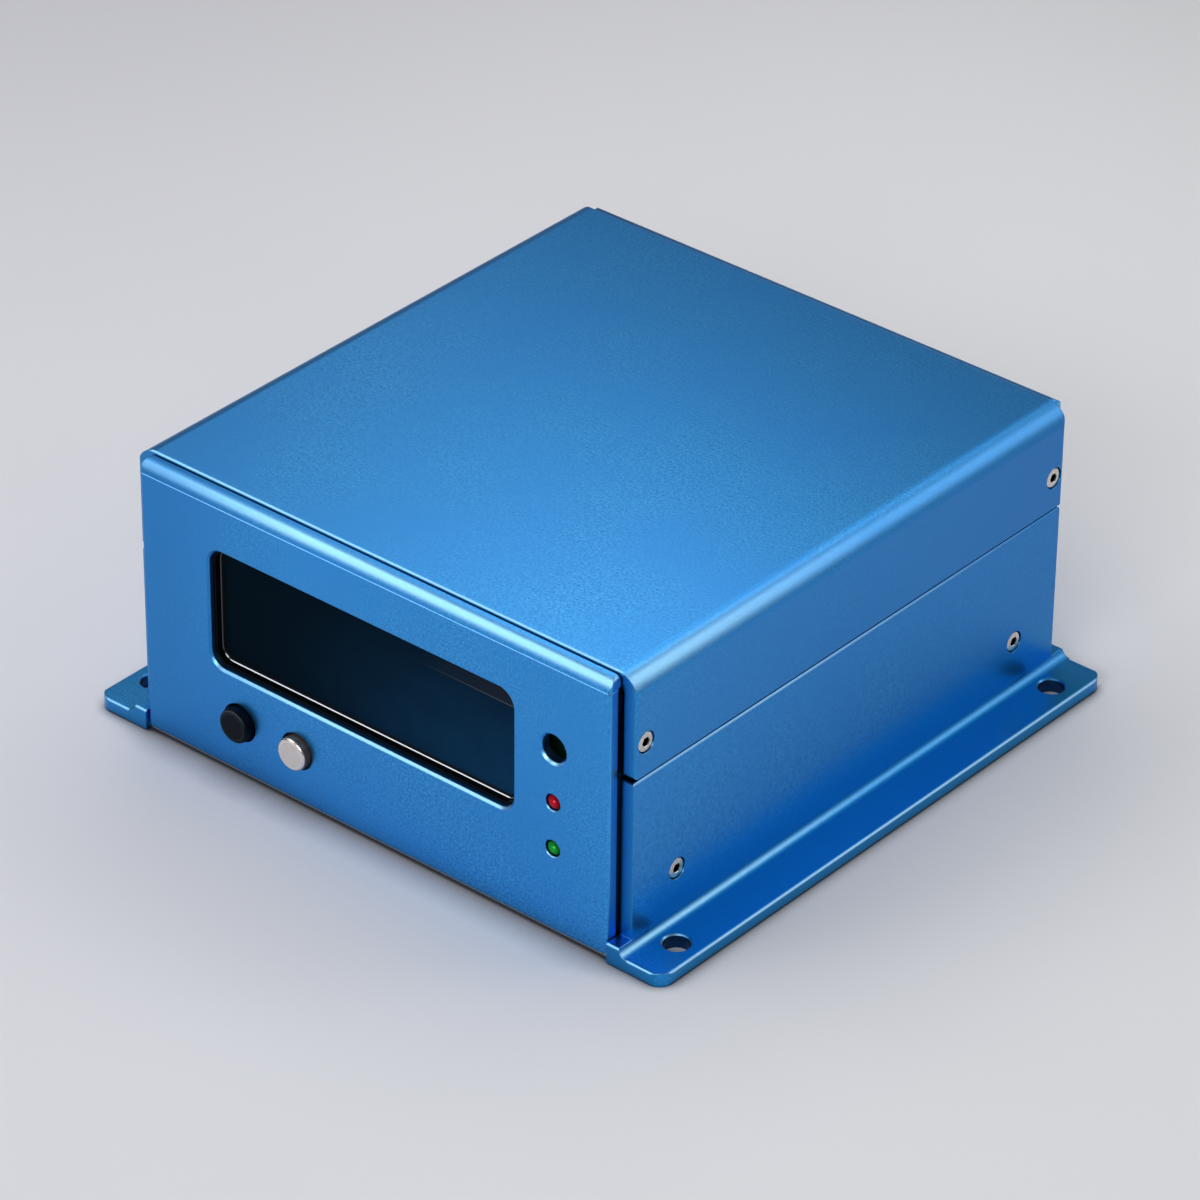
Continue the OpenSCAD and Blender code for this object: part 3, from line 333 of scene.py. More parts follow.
# Shrunk dark film: thin glossy plastic with a pale stripe down the side of the negative lead.
stripe_edge = (can_x - 3.2) * MM
stripe_blend = 0.1 * MM
film_crease = 2 * MM
film, shader, place = new_material("shrunk_dark_film")
across = add(film, "SeparateXYZ", {0: place}).outputs[0]
stripe = add(film, "MapRange", {0: across, 1: stripe_edge, 2: stripe_edge - stripe_blend}).outputs[0]
crease = add(film, "TexNoise", {"Vector": place, "Scale": 1 / film_crease, "Detail": 2.0}).outputs[0]
dark = add(film, "Mix", {0: crease, 6: linear("#26282f"), 7: linear("#30333c")}, data_type="RGBA")
striped = add(film, "Mix", {0: stripe, 6: dark.outputs[2], 7: linear("#b4b8c0")}, data_type="RGBA")
feed(film, shader, {"Base Color": striped.outputs[2], "Roughness": 0.3})
build("capacitor_sleeves", sleeves, film, "sleeved_can", "capacitors")
build("capacitor_ends", ends, steel, "bright_steel")

# Power jack: a moulded block at the main board's rear edge that a round plug goes into.
# Black plastic with a turned steel pin standing in its bore.

# Black plastic round a steel pin: the moulded body's dull black again, and a bright metal point in it.
jack_low, jack_high = corners("power_jack")
bore_drop = 4.4 * MM
jack_axis = np.array([(jack_low[0] + jack_high[0]) / 2, 0, jack_high[2] - bore_drop])
pin_edge = 1.05 * MM
pin_blend = 0.02 * MM
jack, shader, place = new_material("black_plastic_with_steel_pin")
from_axis = axis_distance(jack, place, jack_axis, (1, 0, 1))
pin = add(jack, "MapRange", {0: from_axis, 1: pin_edge + pin_blend, 2: pin_edge}).outputs[0]
grain = add(jack, "TexNoise", {"Vector": place, "Scale": 1 / spark_grain, "Detail": 3.0}).outputs[0]
black = add(jack, "Mix", {0: grain, 6: linear("#0e0f12"), 7: linear("#181a1e")}, data_type="RGBA")
both = add(jack, "Mix", {0: pin, 6: black.outputs[2], 7: linear("#c8c6c2")}, data_type="RGBA")
dull = add(jack, "MapRange", {0: pin, 3: 0.46, 4: 0.22}).outputs[0]
feed(jack, shader, {"Base Color": both.outputs[2], "Metallic": pin, "Roughness": dull})
dress(jack, "power_jack")

# Front panel: a plate whose top edge is rolled over to meet the cover, with its holes cut and chamfered.
# Aluminium sheet, finished like the brackets and held by studs on its back.

# Creased anodised aluminium: the bend starts from a fine crease across the face, with a painted highlight
# along it; painted shade darkens the lower edge and the left end, and the side ends are painted lighter.
panel_foot, panel_top = corners("front_panel")[:, 2]
crease_drop = 2.5 * MM
crease_width = 0.2 * MM
crease_low = panel_top - crease_drop
crease_high = crease_low + crease_width
crease_depth = 0.25 * MM
left_shade_from = -15 * MM
left_shade_full = -45 * MM
under_from = 0.6 * MM
under_full = 1.0 * MM
panel_finish, nodes, shader, place = copied(anodised, "anodised_blue_aluminium_creased")
edge = nodes["Bevel"].outputs[0]
dye_and_light = nodes["end_shade_tone"].outputs[2]
across, _, height = add(panel_finish, "SeparateXYZ", {0: place}).outputs
face = add(panel_finish, "MapRange", {0: height, 1: crease_high, 2: crease_low}).outputs[0]
crease = {"Height": face, "Strength": 1.0, "Distance": crease_depth, "Normal": edge}
step = add(panel_finish, "Bump", crease).outputs[0]
feed(panel_finish, nodes["Bump"], {"Normal": step})
# The panel's side ends are painted lighter rather than darker, and its faces get no painted side shade.
feed(panel_finish, nodes["end_facing"], {0: nodes["facing"].outputs[0]})
feed(panel_finish, nodes["end_shade_tone"], {7: linear("#5cb6f6")})
feed(panel_finish, nodes["side_shade"], {4: 0.0})
# Painted shade: darker towards the left end.
left_end = add(panel_finish, "MapRange", {0: across, 1: left_shade_from, 2: left_shade_full, 4: 0.6}).outputs[0]
left_shaded = add(panel_finish, "Mix", {0: left_end, 6: dye_and_light, 7: linear("#1f7ac0")}, data_type="RGBA").outputs[2]
# Painted shade along the lower edge.
under_edge_shade = {0: height, 1: panel_foot + under_from, 2: panel_foot - under_full, 4: 0.8}
under = add(panel_finish, "MapRange", under_edge_shade, interpolation_type="SMOOTHSTEP").outputs[0]
lower_shaded = add(panel_finish, "Mix", {0: under, 6: left_shaded, 7: linear("#123d6e")}, data_type="RGBA").outputs[2]
# Painted highlight: a lighter line along the crease.
roll = add(panel_finish, "Math", {0: 1.0, 1: face}, operation="SUBTRACT").outputs[0]
band = add(panel_finish, "Math", {0: face, 1: roll}, operation="MULTIPLY").outputs[0]
line = add(panel_finish, "MapRange", {0: band, 1: 0.05, 2: 0.2, 4: 0.6}).outputs[0]
lined = add(panel_finish, "Mix", {0: line, 6: lower_shaded, 7: linear("#94caf4")}, data_type="RGBA")
feed(panel_finish, shader, {"Base Color": lined.outputs[2]})
dress(panel_finish, "front_panel")

# Panel studs and nuts: no screw shows on the panels, so threaded studs are pressed into their backs.
# Turned steel with rolled threads; each takes a chamfered hexagon nut behind the tray's flange.


def thread(crest, depth, pitch, low, high):
    """Rows of a screw thread, eight to a turn: r = crest - depth |2 frac(h / pitch - t / 360 deg) - 1|."""
    h = np.linspace(low, high, int(8 * abs(high - low) / pitch))[:, None]
    r = crest - depth * np.abs(2 * ((h / pitch - turn / (2 * np.pi)) % 1) - 1)
    return list(zip(r, np.broadcast_to(h, r.shape)))


def hexagon(flat):
    """Radius of a hexagon at each angle t once round, from half its width over the flats:
    r = flat / cos(t mod 60 deg - 30 deg)."""
    return flat / np.cos(turn % (np.pi / 3) - np.pi / 6)


stud_r = 1.45
stud_low, stud_high = corners("panel_studs") / MM
stud_inset = np.array([stud_r, 0, stud_r])
stud_x, stud_y, stud_z = np.transpose([stud_low + stud_inset, stud_high - stud_inset])
stud_feet = [(x, y, z) for x in stud_x for y in stud_y for z in stud_z]
stud_rows = [(0, 0), (1.4, 0), (stud_r, 0.1), (stud_r, 0.95), (1.4, 1.0)]
stud_rows += thread(crest=1.25, depth=0.22, pitch=0.45, low=1.02, high=6.3)
stud_rows += [(0.95, 6.6), (0, 6.6)]
studs = [stand(lathe(stud_rows), foot, (0, -np.sign(foot[1]), 0)) for foot in stud_feet]
build("threaded_studs", studs, steel, "bright_steel", "panel_studs")

nut_bore = 1.27
nut_seat = 3.0
nut_flat = 2.5
nut_h = 2.0
nut_edge = 0.22
nut_side = hexagon(nut_flat)
chamfered = np.minimum(nut_side, nut_flat + 0.05)
nut_rows = [(nut_bore, 0), (chamfered, 0), (nut_side, nut_edge), (nut_side, nut_h - nut_edge)]
nut_rows += [(chamfered, nut_h), (nut_bore, nut_h), (nut_bore, 0)]
nuts = [stand(lathe(nut_rows), (x, y - nut_seat * np.sign(y), z), (0, -np.sign(y), 0))
        for x, y, z in stud_feet]
build("hexagon_nuts", nuts, steel, "bright_steel", "panel_nuts")

# Window gasket: a ring that lines the window's edge, with a flange behind the panel and a lip on the pane.
# Black rubber, moulded in one; the lens clamps it against the panel's back.

flange_r = 4.2
gasket_low, gasket_high = corners("window_gasket") / MM
window_x, _, window_z = (gasket_low + gasket_high) / 2
corner_x, _, corner_z = (gasket_high - gasket_low) / 2 - flange_r
gasket_back = gasket_high[1]
quarter = np.linspace(0, np.pi / 2, 13)


def framed(rows):
    """Rounded rectangles on one set of corner centres c: a row (r, d) becomes c + r (cos t, sin t),
    at a depth d from the gasket's back."""
    t = np.concatenate([quarter, quarter + np.pi / 2, quarter + np.pi, quarter + 1.5 * np.pi, [0]])
    right = np.repeat([corner_x, -corner_x, -corner_x, corner_x], len(quarter))
    upper = np.repeat([corner_z, corner_z, -corner_z, -corner_z], len(quarter))
    r, depth = np.array(rows, float).T[:, :, None]
    x = window_x + np.append(right, corner_x) + r * np.cos(t)
    z = window_z + np.append(upper, corner_z) + r * np.sin(t)
    return np.stack([x, np.broadcast_to(gasket_back + depth, x.shape), z], -1)


gasket_rows = [(2.5, 0), (flange_r, 0), (flange_r, -1.2), (2.95, -1.2), (2.95, -1.9), (2.87, -2)]
gasket_rows += [(2.62, -2), (2.53, -1.96), (2.5, -1.85), (2.5, -0.9), (2.06, -0.51), (2.06, -0.48)]
gasket_rows += [(2.5, -0.48), (2.5, 0)]

# Black rubber: dark and nearly matt, with a faint bloom, so the gap round the pane reads black.
bloom_patch = 0.8 * MM
rubber, shader, place = new_material("black_moulded_rubber")
bloom = add(rubber, "TexNoise", {"Vector": place, "Scale": 1 / bloom_patch, "Detail": 3.0}).outputs[0]
black = add(rubber, "Mix", {0: bloom, 6: linear("#040507"), 7: linear("#090a0d")}, data_type="RGBA")
dull = add(rubber, "MapRange", {0: bloom, 1: 0.3, 2: 0.7, 3: 0.36, 4: 0.46}).outputs[0]
feed(rubber, shader, {"Base Color": black.outputs[2], "Roughness": dull, "Specular IOR Level": 0.06})
build("gasket_ring", [framed(gasket_rows)], rubber, "black_rubber", "window_gasket")

# Window lens: a flat pane with a raised face that fills the gasket from behind, bevelled round that face.
# Smoked acrylic, cut and polished; it hides the unlit display behind it.

# Smoked acrylic: almost black, with a painted blue gleam that grows towards its lower right, and a painted
# reflection under the upper edge towards the right: a faint grey band with a lighter line at its foot.
reflection_z = (window_z + 6.5) * MM
line_foot = reflection_z - 0.1 * MM
line_top = reflection_z + 0.1 * MM
line_blend = 0.12 * MM
reflection_left = 8 * MM
reflection_right = 27 * MM
gleam_left = -28 * MM
gleam_right = 34 * MM
gleam_top = 40 * MM
gleam_foot = 23 * MM
haze_patch = 9 * MM
pane, shader, place = new_material("smoked_acrylic")
across, _, height = add(pane, "SeparateXYZ", {0: place}).outputs
# Painted gleam: lighter towards the lower right, patchy.
to_right = {0: across, 1: gleam_left, 2: gleam_right}
sideways = add(pane, "MapRange", to_right, interpolation_type="SMOOTHSTEP").outputs[0]
downward = add(pane, "MapRange", {0: height, 1: gleam_top, 2: gleam_foot, 3: 0.3, 4: 1.0}).outputs[0]
gleam = add(pane, "Math", {0: sideways, 1: downward}, operation="MULTIPLY").outputs[0]
haze = add(pane, "TexNoise", {"Vector": place, "Scale": 1 / haze_patch, "Detail": 2.0}).outputs[0]
hazy = add(pane, "MapRange", {0: haze, 1: 0.3, 2: 0.7, 3: 0.85, 4: 1.15}).outputs[0]
share = add(pane, "Math", {0: gleam, 1: hazy}, operation="MULTIPLY").outputs[0]
deep = add(pane, "Mix", {0: share, 6: linear("#08151f"), 7: linear("#123655")}, data_type="RGBA")
# Painted reflection: a grey band under the upper edge, with a lighter line at its foot, towards the right.
reflection_band = add(pane, "MapRange", {0: height, 1: reflection_z, 2: line_top}).outputs[0]
lit = add(pane, "MapRange", {0: across, 1: reflection_left, 2: reflection_right, 4: 0.8}).outputs[0]
strip = add(pane, "Math", {0: reflection_band, 1: lit}, operation="MULTIPLY").outputs[0]
reflected = add(pane, "Mix", {0: strip, 6: deep.outputs[2], 7: linear("#24282f")}, data_type="RGBA")
rise = add(pane, "MapRange", {0: height, 1: line_foot, 2: line_foot + line_blend}).outputs[0]
fall = add(pane, "MapRange", {0: height, 1: line_top + line_blend, 2: line_top}).outputs[0]
line = add(pane, "Math", {0: rise, 1: fall}, operation="MULTIPLY").outputs[0]
line_lit = add(pane, "Math", {0: line, 1: lit}, operation="MULTIPLY").outputs[0]
lined = add(pane, "Mix", {0: line_lit, 6: reflected.outputs[2], 7: linear("#50545c")}, data_type="RGBA")
feed(pane, shader, {"Base Color": lined.outputs[2], "Roughness": 0.12, "Specular IOR Level": 0.0})
dress(pane, "window_lens")

# Polished bevel: light that enters the pane is turned back inside the cut, so the bevel shines like a dull
# mirror, with painted shade darkening it along the left end.
bevel_rows = [(2.34, -0.77), (2.47, -0.89), (2.46, -0.91), (2.33, -0.79), (2.34, -0.77)]
left_cut = (window_x - corner_x - 2) * MM
left_blend = 2.2 * MM
scuff_mark = 0.6 * MM
mirror_cut, shader, place = new_material("polished_acrylic_bevel")
scuff = add(mirror_cut, "TexNoise", {"Vector": place, "Scale": 1 / scuff_mark, "Detail": 2.0}).outputs[0]
silver = add(mirror_cut, "Mix", {0: scuff, 6: linear("#b4b9c2"), 7: linear("#c6cbd4")}, data_type="RGBA")
# Painted shade: the bevel darkens towards its left end.
across = add(mirror_cut, "SeparateXYZ", {0: place}).outputs[0]
past_left = {0: across, 1: left_cut, 2: left_cut + left_blend, 3: 0.12, 4: 1.0}
clear = add(mirror_cut, "MapRange", past_left).outputs[0]
bright_edge = add(mirror_cut, "Mix", {0: clear, 6: linear("#20242a"), 7: silver.outputs[2]}, data_type="RGBA")
feed(mirror_cut, shader, {"Base Color": bright_edge.outputs[2], "Metallic": 1.0, "Roughness": 0.16})
build("lens_bevel", [framed(bevel_rows)], mirror_cut, "tinted_pane")

# Display: a liquid crystal cell in a folded frame, on a small board of its own behind the lens.
# The cell is glass, the frame is black coated steel with its tabs turned under the board.

# Unlit display glass: dark blue-green, glossy, with the faint rows and columns of its pixels.
pixel = 0.6 * MM
glass, shader, place = new_material("unlit_display_glass")
by_pixel = np.full(3, 1 / pixel)
cell = add(glass, "VectorMath", {0: place, 1: by_pixel}, operation="MULTIPLY").outputs[0]
square_cells = {"Vector": cell, "Scale": 1.0, "Randomness": 0.0}
from_middle = add(glass, "TexVoronoi", square_cells, distance="CHEBYCHEV").outputs["Distance"]
gap = add(glass, "MapRange", {0: from_middle, 1: 0.42, 2: 0.46}).outputs[0]
pixels = add(glass, "Mix", {0: gap, 6: linear("#0c1c2e"), 7: linear("#081320")}, data_type="RGBA")
feed(glass, shader, {"Base Color": pixels.outputs[2], "Roughness": 0.08})
dress(glass, "display_cell")

# Black coated steel: a thin baked coat, even and half matt, with a trace of orange peel.
peel_patch = 0.7 * MM
peel_depth = 0.03 * MM
coated, shader, place = new_material("black_coated_steel")
peel = add(coated, "TexNoise", {"Vector": place, "Scale": 1 / peel_patch, "Detail": 2.0}).outputs[0]
black = add(coated, "Mix", {0: peel, 6: linear("#1b1c1f"), 7: linear("#222428")}, data_type="RGBA")
relief = add(coated, "Bump", {"Height": peel, "Strength": 0.15, "Distance": peel_depth}).outputs[0]
feed(coated, shader, {"Base Color": black.outputs[2], "Roughness": 0.42, "Normal": relief})
dress(coated, "display_bezel")
dress(mask_green, "display_board")

# Standoffs behind the front panel: pressed into its back like the studs, they carry the display's board
# and the front board. Turned steel, tapped at their free ends.

dress(steel, "panel_standoffs")

# Front board and its switches: the board behind the panel's foot, with two push switches soldered to it.
# Switch bodies are black plastic; their plungers are white nylon and bear on the button caps.

# White nylon: creamy and slightly waxy, a little mottled.
mottle_patch = 1.5 * MM
nylon, shader, place = new_material("white_nylon")
mottle = add(nylon, "TexNoise", {"Vector": place, "Scale": 1 / mottle_patch, "Detail": 2.0}).outputs[0]
cream = add(nylon, "Mix", {0: mottle, 6: linear("#dedbd0"), 7: linear("#ebe8de")}, data_type="RGBA")
feed(nylon, shader, {"Base Color": cream.outputs[2], "Roughness": 0.42})
dress(mask_green, "front_board")
dress(moulded, "switch_bodies")
dress(nylon, "black_plunger", "metal_plunger")

# Black button: a round cap with a rounded rim and a collar that stops it behind the panel.
# Black plastic, moulded; it slides in its hole and the switch's spring holds it out.

# Smooth black plastic: blacker and closer-grained than the bodies, with a painted highlight where the
# rounded rim begins and on the rim's upper side.
black_axis = corners("black_button").mean(axis=0)
cap_r = 3 * MM
lit_ring = 2.45 * MM
ring_fade = 0.2 * MM
ring_core = 0.02 * MM
shoulder_from = 0.1 * MM
shoulder_full = 0.3 * MM
side_gap = 0.02 * MM
side_fade = 0.16 * MM
cap_black, shader, place = new_material("smooth_black_plastic")
grain = add(cap_black, "TexNoise", {"Vector": place, "Scale": 1 / spark_grain, "Detail": 2.0}).outputs[0]
black = add(cap_black, "Mix", {0: grain, 6: linear("#03080f"), 7: linear("#060f1a")}, data_type="RGBA")
from_axis = axis_distance(cap_black, place, black_axis, (1, 0, 1))
# Painted highlight: a lighter ring where the rounded rim begins.
off_ring = add(cap_black, "Math", {0: from_axis, 1: lit_ring}, operation="SUBTRACT").outputs[0]
away = add(cap_black, "Math", {0: off_ring}, operation="ABSOLUTE").outputs[0]
edge_lit = add(cap_black, "MapRange", {0: away, 1: ring_fade, 2: ring_core}).outputs[0]
# Painted highlight on the upper side of the rim.
outward = add(cap_black, "NewGeometry", {}).outputs["Normal"]
facing = add(cap_black, "SeparateXYZ", {0: outward}).outputs[2]
upper = add(cap_black, "MapRange", {0: facing, 1: 0.15, 2: 0.75, 4: 0.9}).outputs[0]
outer = add(cap_black, "MapRange", {0: off_ring, 1: shoulder_from, 2: shoulder_full}).outputs[0]
inner = add(cap_black, "MapRange", {0: from_axis, 1: cap_r - side_gap, 2: cap_r - side_fade}).outputs[0]
band = add(cap_black, "Math", {0: outer, 1: inner}, operation="MINIMUM").outputs[0]
shoulder = add(cap_black, "Math", {0: upper, 1: band}, operation="MULTIPLY").outputs[0]
highlit = add(cap_black, "Mix", {0: shoulder, 6: black.outputs[2], 7: linear("#525a66")}, data_type="RGBA")
ringed = add(cap_black, "Mix", {0: edge_lit, 6: highlit.outputs[2], 7: linear("#1f2731")}, data_type="RGBA")
dull = add(cap_black, "MapRange", {0: grain, 1: 0.3, 2: 0.7, 3: 0.34, 4: 0.42}).outputs[0]
feed(cap_black, shader, {"Base Color": ringed.outputs[2], "Roughness": dull, "Specular IOR Level": 0.08})
dress(cap_black, "black_button")

# Metal button: the same cap in metal, beside the black one.
# Stainless steel, turned; its face is spun satin and its rounded rim is polished.

# Satin stainless steel: the face's fine rings spread the light, the polished rim gathers it into a bright
# band, a painted highlight rings the face's edge, and painted shade darkens the side below the rim.
metal_axis = corners("metal_button").mean(axis=0)
face_edge = 2.4 * MM
face_blend = 0.1 * MM
spun_ring = 0.12 * MM
darken_from = 0.1 * MM
darken_full = 0.03 * MM
edge_light_fade = 0.1 * MM
edge_light_core = 0.03 * MM
satin, shader, place = new_material("satin_stainless_steel")
from_axis = axis_distance(satin, place, metal_axis, (1, 0, 1))
rim = add(satin, "MapRange", {0: from_axis, 1: face_edge - face_blend, 2: face_edge + face_blend}).outputs[0]
spins = add(satin, "Math", {0: from_axis, 1: 1 / spun_ring}, operation="MULTIPLY").outputs[0]
by_spin = {"W": spins, "Scale": 1.0, "Detail": 1.0}
rings = add(satin, "TexNoise", by_spin, noise_dimensions="1D").outputs[0]
warm = add(satin, "Mix", {0: rings, 6: linear("#e4dbd4"), 7: linear("#f4ece6")}, data_type="RGBA")
spread = add(satin, "MapRange", {0: rings, 1: 0.3, 2: 0.7, 3: 0.44, 4: 0.54}).outputs[0]
gloss = add(satin, "Mix", {0: rim, 2: spread, 3: 0.26}, data_type="FLOAT").outputs[0]
# Painted shade on the side below the rim.
side = add(satin, "MapRange", {0: from_axis, 1: cap_r - darken_from, 2: cap_r - darken_full}).outputs[0]
side_darkened = add(satin, "Mix", {0: side, 6: warm.outputs[2], 7: linear("#5e4e44")}, data_type="RGBA")
# Painted highlight: a thin bright ring at the face's edge.
off_edge = add(satin, "Math", {0: from_axis, 1: face_edge}, operation="SUBTRACT").outputs[0]
away = add(satin, "Math", {0: off_edge}, operation="ABSOLUTE").outputs[0]
bright_edge = add(satin, "MapRange", {0: away, 1: edge_light_fade, 2: edge_light_core}).outputs[0]
ringed = add(satin, "Mix", {0: bright_edge, 6: side_darkened.outputs[2], 7: linear("#fffaf6")}, data_type="RGBA")
bare = add(satin, "MapRange", {0: side, 3: 1.0, 4: 0.25}).outputs[0]
feed(satin, shader, {"Base Color": ringed.outputs[2], "Metallic": bare, "Roughness": gloss})
dress(satin, "metal_button")

# Lamps: two 3 mm indicator lamps that stand on the front board and look out of the panel, red above green.
# Tinted resin cast round a tinned lead frame, whose cup sits under the dome.

lamp_h = 3.2
lamp_r = 1.42
dome_foot = 2.5
dome_h = 0.69
lead_l = 7.1
lead_half = 0.25
lead_pitch = 2.54
resin_swirl = 0.9 * MM
core_r = 1.0 * MM
core_full = 0.2 * MM
rim_from = 1.05 * MM
rim_full = 1.3 * MM
glint_at = (0.3 * MM, 0, 0.35 * MM)
glint_r = 0.26 * MM
glint_full = 0.08 * MM
dome = np.linspace(np.pi / 2, 0, 12)
lamp_rows = [(0, 0), (1.8, 0), (1.9, 0.1), (1.9, 0.9), (1.82, 1.0), (lamp_r, 1.0), (lamp_r, 2.3)]
lamp_rows += list(zip(lamp_r * np.sin(dome), dome_foot + dome_h * np.cos(dome)))
cup_rows = [(0, 0.9), (0.35, 0.9), (0.7, 1.35), (0.8, 1.35), (0.8, 0.3), (0, 0.3)]


def prism(half, low, high, shift):
    """A square bar along z: an outline of the given half-width from low to high, moved sideways by shift.
    Its first and last row shrink to a point, which closes the ends."""
    outline = half * np.array([[1, 1], [-1, 1], [-1, -1], [1, -1], [1, 1]])
    rows = [outline * share for share in (0, 1, 1, 0)]
    heights = (low, low, high, high)
    return np.array([np.column_stack([row + shift, np.full(5, h)]) for row, h in zip(rows, heights)])


lead_grids = []
lamp_hues = {
    "red": ("#34040c", "#860012", "#d8021e", "#f86c80"),
    "green": ("#04280e", "#007018", "#02bc2c", "#78e28e"),
}
for colour, (rim_hex, dark_hex, light_hex, glint_hex) in lamp_hues.items():
    lamp_low, lamp_high = corners(colour + "_lamp") / MM
    foot = (lamp_low + lamp_high) / 2
    foot[1] = lamp_low[1] + lamp_h
    # Tinted resin: deep cast colour, with painted light in its middle from the cup behind the dome, a
    # painted glint above and right of the middle, and painted shade at its rim.
    resin, shader, place = new_material(colour + "_tinted_resin")
    swirl = add(resin, "TexNoise", {"Vector": place, "Scale": 1 / resin_swirl, "Detail": 2.0}).outputs[0]
    patch = add(resin, "MapRange", {0: swirl, 1: 0.35, 2: 0.65, 3: 0.5}).outputs[0]
    from_axis = axis_distance(resin, place, foot * MM, (1, 0, 1))
    # Painted light: brighter and patchy towards the middle.
    core = add(resin, "MapRange", {0: from_axis, 1: core_r, 2: core_full}).outputs[0]
    bright = add(resin, "Math", {0: core, 1: patch}, operation="MULTIPLY").outputs[0]
    # Painted shade at the rim.
    rim = add(resin, "MapRange", {0: from_axis, 1: rim_from, 2: rim_full}).outputs[0]
    tint = add(resin, "Mix", {0: bright, 6: linear(dark_hex), 7: linear(light_hex)}, data_type="RGBA")
    # Painted glint, above and right of the middle.
    from_glint = axis_distance(resin, place, foot * MM + glint_at, (1, 0, 1))
    glint = add(resin, "MapRange", {0: from_glint, 1: glint_r, 2: glint_full}).outputs[0]
    lit = add(resin, "Mix", {0: glint, 6: tint.outputs[2], 7: linear(glint_hex)}, data_type="RGBA")
    edged = add(resin, "Mix", {0: rim, 6: lit.outputs[2], 7: linear(rim_hex)}, data_type="RGBA")
    feed(resin, shader, {"Base Color": edged.outputs[2], "Roughness": 0.1, "Specular IOR Level": 0.08})
    bulb = stand(lathe(lamp_rows), foot, (0, -1, 0))
    build(colour + "_lamp_resin", [bulb], resin, colour + "_resin", colour + "_lamp")
    leads = [prism(lead_half, -lead_l, 0.2, (side * lead_pitch / 2, 0)) for side in (-1, 1)]
    lead_grids += [stand(grid, foot, (0, -1, 0)) for grid in leads + [lathe(cup_rows)]]
build("lamp_lead_frames", lead_grids, steel, "bright_steel")

# Flat cables: two ribbons from the main board's sockets to the display's board and the front board.
# Parallel wires in grey vinyl, moulded side by side.

# Ribbed grey vinyl: a soft plastic with a rib over each wire, 1.27 mm apart, so it shades in stripes,
# with painted shade in the grooves.
wire_pitch = 1.27 * MM
rib_depth = 0.2 * MM
fade_patch = 4 * MM
vinyl, shader, place = new_material("ribbed_grey_vinyl")
across = add(vinyl, "SeparateXYZ", {0: place}).outputs[0]
phase = add(vinyl, "Math", {0: across, 1: 2 * np.pi / wire_pitch}, operation="MULTIPLY").outputs[0]
rib = add(vinyl, "Math", {0: phase}, operation="SINE").outputs[0]
fade = add(vinyl, "TexNoise", {"Vector": place, "Scale": 1 / fade_patch, "Detail": 2.0}).outputs[0]
grey = add(vinyl, "Mix", {0: fade, 6: linear("#93969a"), 7: linear("#a3a6aa")}, data_type="RGBA")
# Painted shade in the grooves between the ribs.
groove = add(vinyl, "MapRange", {0: rib, 1: -0.6, 2: -1.0}).outputs[0]
shaded = add(vinyl, "Mix", {0: groove, 6: grey.outputs[2], 7: linear("#74777b")}, data_type="RGBA")
relief = add(vinyl, "Bump", {"Height": rib, "Strength": 0.5, "Distance": rib_depth}).outputs[0]
feed(vinyl, shader, {"Base Color": shaded.outputs[2], "Roughness": 0.5, "Normal": relief})
dress(vinyl, "display_cable", "front_cable")

# Rear panel: the front panel's blank with only a hole for the power jack.
# The same sheet, roll and finish, held by its own studs and nuts.

dress(panel_finish, "rear_panel")

# Cover: the top and two skirts in one piece, folded over the tray's walls.
# Aluminium sheet, finished like the brackets, its edges broken; two screws a side hold it.

dress(anodised, "cover")

# Case screws: two a side through the cover's skirts and two through each bracket, into the tray's walls.
# M2 domed socket screws in steel, their heads sunk into round recesses.


def socket_screw(crest, pitch, length, head_r, head_h, key, floor, sphere, round_off):
    """Rows from the floor of the hexagon socket to the tip: the socket's walls, then the dome
    h = top - sphere + sqrt(sphere^2 - r^2), a quarter round of the rim, the underside and the thread."""
    socket = hexagon(key / 2)
    flare = socket + 0.08
    reach = head_r - round_off
    spans = [flare + (reach - flare) * share for share in np.linspace(0, 1, 7)]
    bend = np.linspace(0, np.pi / 2, 6)[1:]
    rim_h = head_h - sphere + np.sqrt(sphere ** 2 - reach ** 2)
    rows = [(0, floor), (socket, floor), (socket, head_h - 0.12)]
    rows += [(r, head_h - sphere + np.sqrt(sphere ** 2 - r ** 2)) for r in spans]
    rows += list(zip(reach + round_off * np.sin(bend), rim_h - round_off * (1 - np.cos(bend))))
    rows += [(head_r, 0.06), (head_r - 0.06, 0), (crest, 0)]
    rows += thread(crest, 0.22 * crest, pitch, -0.02, 0.2 - length)
    return lathe(rows + [(0.6 * crest, -length), (0, -length)])


